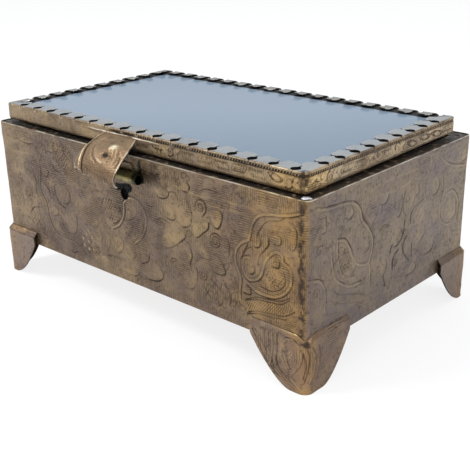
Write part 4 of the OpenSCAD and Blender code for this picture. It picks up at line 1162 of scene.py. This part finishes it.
def folded_band(name, length, notches, seed, hang, curl, near_end, keep_clear):
    """One band along X with its outer face at y 0, from columns of points between each pair of notches.

    hang is how far its lower edge comes down at each end, curl how far its tabs lift, near_end its golden end
    """
    chance = np.random.default_rng(seed)
    d, z, nd, nz = band_rows()
    torn = 1.0 if curl else 0.0
    deep = d[:, 0]
    top = (nz[:, 0] > 0) | (z[:, 0] >= CREST - 0.01)
    hole = np.sqrt(np.clip((NOTCH_R + 0.5 * torn) ** 2 - (deep - NOTCH_IN) ** 2, 0, None))
    open_in = np.clip((deep - 5.3 + 1.2 * torn) / (0.9 + torn), 0, 1) ** 0.6
    slit = 0.45 + 0.35 * torn + (0.75 + 0.7 * torn) * open_in + np.maximum(deep - 6.4, 0) * 0.7
    gap = np.where(top, np.maximum(hole, np.where(deep < NOTCH_IN, 0.15, slit)), 0)
    reach = length / 2 - np.maximum(LID_R, deep)
    stamp = pressed(band_die(length, seed, keep_clear))
    tilt = [chance.uniform(-1, 1) for _ in range(len(notches) + 1)]
    lift = [chance.uniform(-0.1, 0.4) + curl for _ in range(len(notches) + 1)]
    fences = [-999, *notches, 999]
    points, faces = [], []
    marks = {"relief": [], "tab": [], "glint": [], "streak": [], "gold": []}
    for k in range(len(notches) + 1):
        lo = -reach if k == 0 else fences[k] + gap
        hi = reach if k == len(notches) else fences[k + 1] - gap
        t = np.linspace(0, 1, max(8, int(float((hi - lo).max()) / 0.36)))
        x = np.clip(lo[:, None] + t * (hi - lo)[:, None], -reach[:, None], reach[:, None])
        plan = [x, np.broadcast_to(d, x.shape), 0 * x, np.broadcast_to(nd, x.shape)]
        if k == 0:
            plan = round_corner(-1, reach, plan, nd, d)
        if k == len(notches):
            plan = round_corner(1, reach, plan, nd, d)
        x, depth, nx, ny = plan
        zz = np.broadcast_to(z, x.shape)
        share = np.clip((x - lo[:, None]) / np.maximum((hi - lo)[:, None], 0.5), 0, 1)
        col = np.clip((x + length / 2) / BAND_STEP, 0, stamp.shape[1] - 1.01)
        row = np.clip((zz - LID_Z0) / BAND_STEP, 0, stamp.shape[0] - 1.01)
        i, j = col.astype(int), row.astype(int)
        mark = stamp[j, i] * (1 - row + j) + stamp[j + 1, i] * (row - j)
        face = np.clip(1 - abs(z - (LID_Z0 + LID_Z1) / 2 + 0.15) / 2.9, 0, 1) ** 0.3 * (nd < -0.9)
        height = mark * face * 0.75 + 0.07 * cloud(x + 90, zz - 60 + depth, 5, seed) * (d < 2.9)
        tip = np.clip((d - 1.2) / 5.8, 0, 1)
        corners = np.clip((abs(share - 0.5) - 0.36) / 0.14, 0, 1) ** 2 * (d > 5)
        rise = lift[k] * tip**2 + 0.3 * tilt[k] * (share - 0.5) * tip - 0.25 * corners
        px, pz = x + nx * height, z + nz * height + np.maximum(rise * (nz > 0), -0.24)
        pz -= np.clip((CREST - z) / (CREST - LID_Z0), 0, 1) * np.interp(px, (-length / 2, length / 2), hang)
        faces.append(grid_faces(np.arange(px.size).reshape(px.shape) + sum(len(p) for p in points)))
        points.append(np.stack([px, depth + ny * height, pz], -1).reshape(-1, 3))

        mitre = length / 2 - abs(x)
        at_near = x * near_end > 0
        # the fold is painted a little darker, as painted shade
        fold = np.clip((z - CREST + 0.1) / 0.3, 0, 1) * (nd < -0.05)
        grime = cloud(x + 90, zz, 1.1, seed + 3)
        dirt = np.exp(-(((mitre - 0.7 + 0.5 * grime) / np.where(at_near, 1.9, 1.0)) ** 4)) * (d < 2.2)
        dirt = dirt * np.clip(0.8 + 0.9 * grime, 0, 1) * np.where(at_near, 1, 0.35)
        brown = 0.24 * (near_end > 0) * np.clip((-x - 8) / 8, 0, 1) * (nz <= 0)
        warm = np.clip(1.15 - mitre / 16, 0, 1) * at_near + 0.3 * (near_end > 0)
        warm += 0.25 * cloud(x + 40, zz, 4, seed + 4)
        by_notch = np.minimum(abs(x - fences[k]), abs(x - fences[k + 1]))
        # a painted highlight on the fold just under each notch
        bright = np.exp(-((by_notch / 1.1) ** 2)) * np.exp(-(((z - CREST + 0.25) / 0.35) ** 2)) * (d < 0.6)
        # the tabs take a pale blue-grey as a painted reflection of the sky
        for key, values in (
            ("relief", np.clip(0.54 + 1.9 * mark * face + 0.6 * height - 0.18 * fold, 0, 1)),
            ("streak", np.maximum(dirt, brown)),
            ("gold", np.clip(warm, 0, 1) * (nz <= 0)),
            ("tab", np.clip((d - 0.35) / 0.5, 0, 1) * (nz > 0) * (1 - 0.3 * torn)),
            ("glint", bright * (0.25 + 0.3 * tilt[k])),
        ):
            marks[key].append(np.broadcast_to(values, x.shape).ravel())
    mesh = bpy.data.meshes.new(name)
    mesh.from_pydata((np.concatenate(points) * MM).tolist(), [], np.concatenate(faces).tolist())
    for key, values in marks.items():
        keep_mark(mesh, key, np.concatenate(values))
    shape = bmesh.new()
    shape.from_mesh(mesh)
    bmesh.ops.remove_doubles(shape, verts=shape.verts, dist=4e-6)
    bmesh.ops.dissolve_degenerate(shape, edges=shape.edges, dist=1e-6)
    shape.to_mesh(mesh)
    shape.free()
    return set_down(name, mesh)


def rope_border_group():
    """Slanted bars set along a line, as a roped border"""
    tree = bpy.data.node_groups.new("rope_border", "GeometryNodeTree")
    for name, kind in (("Line", "Geometry"), ("Pitch", "Float"), ("Bar", "Object"), ("Finish", "Material")):
        tree.interface.new_socket(name, in_out="INPUT", socket_type="NodeSocket" + kind)
    tree.interface.new_socket("Border", in_out="OUTPUT", socket_type="NodeSocketGeometry")
    given = tree_node(tree, "NodeGroupInput").outputs
    out = tree_node(tree, "NodeGroupOutput").inputs
    curve = tree_node(tree, "GeometryNodeMeshToCurve")
    steps = tree_node(tree, "GeometryNodeResampleCurve", mode="LENGTH")
    bar = tree_node(tree, "GeometryNodeObjectInfo")
    way = tree_node(tree, "GeometryNodeInputTangent")
    turn = tree_node(tree, "FunctionNodeAlignRotationToVector", axis="X", pivot_axis="Z")
    size = tree_node(tree, "FunctionNodeRandomValue", data_type="FLOAT", Seed=4)
    size.inputs[2].default_value, size.inputs[3].default_value = 0.72, 1.05
    many = tree_node(tree, "GeometryNodeInstanceOnPoints")
    real = tree_node(tree, "GeometryNodeRealizeInstances")
    paint = tree_node(tree, "GeometryNodeSetMaterial")
    for a, b in (
        (given["Line"], curve.inputs[0]), (curve.outputs[0], steps.inputs["Curve"]),
        (given["Pitch"], steps.inputs["Length"]), (given["Bar"], bar.inputs["Object"]),
        (bar.outputs["Geometry"], many.inputs["Instance"]), (steps.outputs[0], many.inputs["Points"]),
        (way.outputs[0], turn.inputs["Vector"]), (turn.outputs[0], many.inputs["Rotation"]),
        (size.outputs[1], many.inputs["Scale"]), (many.outputs[0], real.inputs[0]),
        (real.outputs[0], paint.inputs[0]), (given["Finish"], paint.inputs["Material"]),
        (paint.outputs[0], out[0]),
    ):
        tree.links.new(a, b)
    return tree


def settled(piece, modifier):
    """Replaces a piece's mesh by what its modifier makes of it"""
    bpy.context.view_layer.update()
    piece_now = piece.evaluated_get(bpy.context.evaluated_depsgraph_get())
    mesh = bpy.data.meshes.new_from_object(piece_now)
    piece.modifiers.remove(modifier)
    piece.data = mesh
    return mesh


ROPE = rope_border_group()
ROPE_PITCH = 1.18
bar_shape = bmesh.new()
bmesh.ops.create_icosphere(bar_shape, subdivisions=2, radius=0.5)
for v in bar_shape.verts:
    along, off = v.co.z * 1.2, v.co.x * 0.44
    v.co = Vector((off + along * 0.52, v.co.y * 0.42, along)) * MM
bar_mesh = bpy.data.meshes.new("rope_bar")
bar_shape.to_mesh(bar_mesh)
bar_shape.free()
bar_mesh.shade_smooth()
rope_bar = bpy.data.objects.new("rope_bar", bar_mesh)

BAND_MARKS = ("relief", "tab", "glint", "streak", "gold")
band_brass = brass(
    "band_brass", (0.315, 0.24, 0.155), (0.195, 0.142, 0.10), (0.035, 0.024, 0.016),
    BAND_MARKS, bump=0.9, hatch=1.0,
)
# the right band's brass, painted half again lighter than the others as painted light on that side
side_band = brass(
    "side_band", (0.48, 0.37, 0.245), (0.29, 0.22, 0.155), (0.045, 0.03, 0.02),
    BAND_MARKS, bump=0.9, hatch=1.0,
)
# cut edges and backs of the bands, painted near-black as painted shade in the notches and under the lifted
# tabs
dark_edge = brass(
    "dark_edge", (0.022, 0.017, 0.013), (0.012, 0.009, 0.007), (0.006, 0.005, 0.004), metal=0.3, bump=0.6,
)
LID_MID = ((LID_LO.x + LID_HI.x) / 2, (LID_Y0 + LID_Y1) / 2)
LID_W, LID_D = LID_HI.x - LID_LO.x, LID_Y1 - LID_Y0
for name, length, quarter, start, pitch, half, seed, hang, curl, near_end, clear in (
    ("bezel_front", LID_W, 0, 2.5, 8.95, LID_D / 2, 31, (0.4, 1.2), 0, 1, -5.7),
    ("bezel_right", LID_D, 1, 0, 8.45, LID_W / 2, 33, (1.2, 0.1), 0, -1, None),
    ("bezel_back", LID_W, 2, -4, 8.6, LID_D / 2, 35, (0.1, 0.1), 0.45, 0, None),
    ("bezel_left", LID_D, 3, 0, 8.45, LID_W / 2, 37, (0.1, 0.4), 0.6, 0, None),
):
    notches = start + pitch * np.arange(-12, 13)
    notches = notches[abs(notches) < length / 2 - 4.35]
    notches += np.random.default_rng(seed + 1).uniform(-0.12, 0.12, len(notches))
    band = folded_band("folded_" + name, length, notches, seed, hang, curl, near_end, clear)
    turned = Matrix.Rotation(math.radians(90 * quarter), 4, "Z") @ Matrix.Translation((0, -half * MM, 0))
    to_place = Matrix.Translation(Vector((*LID_MID, 0)) * MM) @ turned
    band.data.transform(to_place)
    sheet = band.modifiers.new("sheet", "SOLIDIFY")
    sheet.thickness = BAND_T * MM
    sheet.offset = -1
    sheet.use_even_offset = True
    sheet.use_quality_normals = True
    sheet.material_offset = 1
    sheet.material_offset_rim = 1
    for finish in (side_band if quarter == 1 else band_brass, dark_edge):
        band.data.materials.append(finish)
    baked = settled(band, sheet)
    baked.shade_smooth()
    baked.set_sharp_from_angle(angle=math.radians(50))
    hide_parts(name)
    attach(band, "lid")

    end = length / 2 - LID_R - 0.6
    xs = np.linspace(clear + 9 if clear else -end, end, 60)
    zs = CREST - 0.36 + 0.04 * np.sin(xs / 7)
    line = bpy.data.meshes.new("rope_line")
    way = [(x * MM, 0.03 * MM, z * MM) for x, z in zip(xs, zs)]
    line.from_pydata(way, [(i, i + 1) for i in range(59)], [])
    line.transform(to_place)
    rope = set_down("roped_" + name, line)
    make = rope.modifiers.new("rope", "NODES")
    make.node_group = ROPE
    given = {"Pitch": ROPE_PITCH * MM, "Bar": rope_bar, "Finish": band_brass}
    for item in ROPE.interface.items_tree:
        if item.name in given:
            make[item.identifier] = given[item.name]
    baked = settled(rope, make)
    keep_mark(baked, "relief", np.full(len(baked.vertices), 0.72))
    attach(rope, "lid")
bpy.data.objects.remove(rope_bar)

# ---------------------------------------------------------------------------------------------
# Glass pane. Clear old glass, hazed by dust and fine scratches so that it throws back the pale
# light above it; its colour is painted darker towards the near corner as a painted falloff of that
# reflection, and its rim under the tabs is painted black, as painted shade and a painted reflection
# of the tabs' dark undersides.
haze, tree, shader = new_finish("hazed_glass")
dust = noise(tree, 9, 3)
place = coordinates(tree)
tone = blend_colour(tree, dust, (0.26, 0.34, 0.44, 1), (0.31, 0.39, 0.49, 1))
# painted darker towards the near corner, as a painted falloff of the reflection
near = spread(tree, figure(tree, "SUBTRACT", place[0], place[1]), -0.02, 0.11)
tone = blend_colour(tree, near, tone, (0.19, 0.265, 0.345, 1))
PANE_LO, PANE_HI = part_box("glass_pane")
RIM_SHIFT = (0.0002, -0.0002)
insets = []
for axis, shift in enumerate(RIM_SHIFT):
    centre, half = (PANE_LO[axis] + PANE_HI[axis]) / 2 + shift, (PANE_HI[axis] - PANE_LO[axis]) / 2 - 0.0002
    away = figure(tree, "ABSOLUTE", figure(tree, "SUBTRACT", place[axis], centre))
    insets.append(figure(tree, "SUBTRACT", half, away))
rim = weighed(tree, (figure(tree, "MINIMUM", *insets), 1), (noise(tree, 700, 2), 0.0008))
# the rim under the tabs is painted black: painted shade under the tabs and a painted reflection of their dark
# undersides
under = spread(tree, rim, 0.0060, 0.0054)
tree.links.new(blend_colour(tree, under, tone, (0.006, 0.006, 0.006, 1)), shader.inputs["Base Color"])
sheen = figure(tree, "ADD", weighed(tree, (dust, 0.1), (under, 0.7)), 0.06)
tree.links.new(sheen, shader.inputs["Roughness"])
shader.inputs["Transmission Weight"].default_value = 0.25
shader.inputs["IOR"].default_value = 1.5
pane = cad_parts["glass_pane"]
pane.data.materials.clear()
pane.data.materials.append(haze)

# ---------------------------------------------------------------------------------------------
# Latch. One T of springy sheet: a crossbar soldered on the front band and a tongue domed over a
# punch, with a chased rim at its left, a crescent, and a pearled lower edge; it springs over the keeper.
TONGUE_X = -6.2
ROOT_Z = 72.5
TONGUE_OUT, TONGUE_DROP = 13.2, 14.4
SHEET_HALF, SHEET_LONG = 10.8, 19
TONGUE_STEP = 0.25


def bend(c, t):
    """Place along a bend with the four set points c, and its slope, at t from 0 to 1"""
    s = 1 - t
    place = c[0] * s**3 + 3 * c[1] * t * s**2 + 3 * c[2] * t * t * s + c[3] * t**3
    return place, 3 * ((c[1] - c[0]) * s**2 + 2 * (c[2] - c[1]) * t * s + (c[3] - c[2]) * t * t)


def tongue_point(t, u, up):
    """Point of the tongue, up mm over its underside: t runs from root to lower edge, u from side to side"""
    (out, out_slope), (fall, fall_slope) = (
        bend(np.array(c) * size, t)
        for c, size in (((0, 0.35, 1.29, 1), TONGUE_OUT), ((0, 0.125, 0.58, 1), TONGUE_DROP))
    )
    half = 8.5 + 3 * np.sin(np.radians(150 * t)) + 2.2 * np.clip((t - 0.84) / 0.16, 0, 1)
    way = np.hypot(out_slope, fall_slope)
    up = up + 1.4 * np.sin(math.pi * t) * (1 - u * u)
    y, z = LID_Y0 - out - fall_slope / way * up, ROOT_Z - fall + out_slope / way * up
    return np.stack([TONGUE_X + half * u, y, z], -1)


u = np.linspace(-1, 1, 84)[None, :]
last = 0.81 + 0.18 * (u + 1) / 2 + 0.02 * np.sin(9.5 * u) + 0.012 * np.sin(23 * u + 1)
t = np.linspace(0, 1, 88)[:, None] * last
u = np.broadcast_to(u, t.shape)
die = blank_die(np.linspace(-12, 12, 97), np.linspace(0, 20, 81))
tools = [
    ([(0.02, -0.86), (0.26, -0.93), (0.41, -0.87), (0.59, -0.70), (0.78, -0.55), (0.9, -0.5)], 0.5, -0.62),
    ([(0.04, -0.97), (0.26, -1.0), (0.41, -0.96), (0.59, -0.82), (0.80, -0.68)], 0.65, 0.4),
    ([(0.20, -0.36), (0.28, -0.45), (0.38, -0.42), (0.52, -0.2), (0.60, 0.1), (0.63, 0.3)], 0.6, 0.16),
    ([(0.20, -0.44), (0.29, -0.54), (0.40, -0.52), (0.54, -0.3), (0.64, 0.05)], 0.4, -0.2),
    ([(0.70, -0.75), (0.76, -0.2), (0.8, 0.3), (0.86, 0.85)], 0.4, -0.16),
]
for w, v, longer in ((0.40, 0.46, 0.2), (0.39, 0.60, 0.22), (0.40, 0.74, 0.2), (0.46, 0.86, 0.17)):
    tools.append(([(w, v), (w + longer / 2, v + 0.05), (w + longer, v + 0.03)], 0.4, -0.24))
for v in -0.82 + 0.14 * np.arange(13):
    tools.append(([(0.70 + 0.065 * (v + 1), v), (0.79 + 0.09 * (v + 1), v + 0.03)], 0.42, -0.2))
for line, width, rise in tools:
    chase(die, [(SHEET_HALF * v, SHEET_LONG * w) for w, v in line], width, rise)
mm_across, mm_along = SHEET_HALF * u, SHEET_LONG * t
col, row = np.clip((mm_across + 12) / TONGUE_STEP, 0, 95.9), np.clip(mm_along / TONGUE_STEP, 0, 79.9)
stamp = read_die(pressed(die), col, row)


def bump(t0, u0, t_size, u_size):
    """A soft round spot of the tongue"""
    return np.exp(-(((t - t0) / t_size) ** 2) - ((u - u0) / u_size) ** 2)


def tongue_patches(size, seed):
    """Soft patches of the tongue"""
    return cloud(10 * u + 30, mm_along, size, seed)


dome, pit = bump(0.38, 0.40, 0.10, 0.26), bump(0.50, 0.30, 0.04, 0.16)
pearl = 0.16 * np.cos(26 * u) * np.clip((t / last - 0.94) / 0.05, 0, 1)
dents = 0.1 * tongue_patches(4.5, 71) + 0.05 * tongue_patches(1.6, 72)
edge = np.clip(np.minimum((1 - abs(u)) * 10, (last - t) * SHEET_LONG) / 0.6, 0, 1)
curl = -0.5 * np.clip((t / last - 0.93) / 0.07, 0, 1) ** 2
over = (stamp + dents) * edge + dome - 0.55 * pit + pearl + curl
# the pit is painted darker, as painted shade in the dent; the dome's top and the edges are painted lighter
relief = np.clip(0.58 + 1.5 * stamp + dents - 0.8 * pit + 0.3 * dome**2, 0, 1) + 0.25 * (edge < 0.35)
low = np.clip((t / last - 0.3) / 0.5, 0, 1)
# painted highlights along the edges and on the dome's upper right
lit = 0.45 * np.clip(1.2 - edge / 0.5, 0, 1) * np.clip(0.6 + tongue_patches(1.8, 73), 0, 1)
lit = np.maximum(lit, 0.6 * bump(0.345, 0.47, 0.04, 0.10))
tongue = closed_sheet(
    "chased_tongue", tongue_point(t, u, 0.6 + over), tongue_point(t, u, np.minimum(over, 0) * 0.8),
    {"relief": relief, "leaf": 0.85 - 0.85 * low, "gold": 0.25 * low, "glint": lit},
)

x = np.linspace(-20, 20, 121)[None, :]
high = 73.2 - 0.5 * np.clip((abs(x) - 18) / 2, 0, 1) ** 2 + 0.05 * np.sin(x)
low = 71.2 + 1.1 * np.clip((abs(x) - 9.5) / 10.5, 0, 1) ** 0.7
share = np.linspace(0, 1, 11)[:, None]
bulge = 0.6 * np.sqrt(np.clip(1 - (2 * share - 1) ** 4, 0, 1)) * np.clip((20.2 - abs(x)) / 1.2, 0.15, 1)
zz = low + share * (high - low)
xx = TONGUE_X + np.broadcast_to(x, zz.shape)
# the crossbar's top edge is painted lighter and carries a painted highlight
bar = closed_sheet(
    "crossbar", np.stack([xx, LID_Y0 - bulge, zz], -1), np.stack([xx, LID_Y0 - 0.02 + 0 * zz, zz], -1),
    {"relief": 0.72 + 0.2 * (share > 0.8), "glint": 0.3 * (share > 0.8)},
)
clean_brass = brass(
    "clean_brass", (0.178, 0.117, 0.072), (0.124, 0.080, 0.051), (0.030, 0.020, 0.014),
    ("relief", "leaf", "gold", "glint"), metal=0.65, bump=1.0, relief=0.7, hatch=0.8, dull=0.08,
)
for sheet in (tongue, bar):
    sheet.data.materials.append(clean_brass)
with bpy.context.temp_override(active_object=tongue, selected_editable_objects=[tongue, bar]):
    bpy.ops.object.join()
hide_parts("latch_tongue")
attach(tongue, "lid")

# ---------------------------------------------------------------------------------------------
# Studio. A pale floor that takes the soft shadow, a bright sky and three soft lamps round the box,
# and the camera of the photograph.
def share_surface(tree, share, a, b, out):
    """Shows surface b in place of a by a share"""
    mix = tree_node(tree, "ShaderNodeMixShader")
    fill(tree, mix.inputs, (share, a.outputs[0], b.outputs[0]))
    tree.links.new(mix.outputs[0], tree.nodes[out].inputs["Surface"])


floor_mesh = bpy.data.meshes.new("floor")
floor_mesh.from_pydata([(-6, -6, 0), (6, -6, 0), (6, 6, 0), (-6, 6, 0)], [], [(0, 1, 2, 3)])
floor = set_down("floor", floor_mesh)
pale, tree, shader = new_finish("pale_floor")
shader.inputs["Base Color"].default_value = (0.9, 0.9, 0.9, 1)
shader.inputs["Roughness"].default_value = 0.9
glow = tree_node(tree, "ShaderNodeEmission", Color=(1, 1, 1, 1), Strength=1.0)
seen = tree_node(tree, "ShaderNodeLightPath").outputs
share_surface(tree, times(tree, seen["Is Camera Ray"], 0.82), shader, glow, "Material Output")
floor_mesh.materials.append(pale)

world = bpy.data.worlds.new("studio")
bpy.context.scene.world = world
world.use_nodes = True
tree = world.node_tree
seen = tree_node(tree, "ShaderNodeLightPath").outputs
height = tree_node(tree, "ShaderNodeSeparateXYZ")
tree.links.new(tree_node(tree, "ShaderNodeTexCoord").outputs["Generated"], height.inputs[0])
overhead = figure(tree, "ADD", times(tree, spread(tree, height.outputs[2], 0.0, 0.8), 0.55), 0.35)
soft = tree.nodes["Background"]
soft.inputs["Color"].default_value = (0.95, 0.975, 1, 1)
tree.links.new(overhead, soft.inputs["Strength"])
white = tree_node(tree, "ShaderNodeBackground", Color=(1, 1, 1, 1), Strength=1.0)
straight = figure(tree, "MAXIMUM", seen["Is Camera Ray"], seen["Is Transmission Ray"])
share_surface(tree, straight, soft, white, "World Output")

for name, spot, size, power in (
    ("key", (-0.45, -0.55, 0.95), 0.35, 9.0),
    ("fill", (0.9, -0.45, 0.55), 0.5, 3.0),
    ("top", (0.1, 0.3, 1.1), 0.8, 3.0),
):
    lamp = bpy.data.lights.new(name, "AREA")
    lamp.size = size
    lamp.energy = power
    holder = set_down(name, lamp)
    holder.location = spot
    holder.rotation_euler = (Vector((0, 0, 0.04)) - Vector(spot)).to_track_quat("-Z", "Y").to_euler()

AIM = (3.08, 2.41 + MID_Y, 20.63)
AWAY = 359.75
PHOTO_PIXELS, FOCAL_PIXELS = 470, 852.4
turn, rise, roll = math.radians(42.78), math.radians(21.51), math.radians(-1.214)
back = Vector((math.sin(turn) * math.cos(rise), -math.cos(turn) * math.cos(rise), math.sin(rise)))
right = (-back).cross(Vector((0, 0, 1))).normalized()
up = right.cross(-back)
right, up = math.cos(roll) * right + math.sin(roll) * up, -math.sin(roll) * right + math.cos(roll) * up
eye = bpy.data.cameras.new("camera")
eye.sensor_width = 36
eye.lens = eye.sensor_width * FOCAL_PIXELS / PHOTO_PIXELS
eye.clip_start = 0.01
camera = set_down("camera", eye)
spot = (Vector(AIM) + back * AWAY) * MM
camera.matrix_world = Matrix.Translation(spot) @ Matrix((right, up, back)).transposed().to_4x4()
bpy.context.scene.camera = camera

bpy.context.scene.view_settings.view_transform = "Standard"
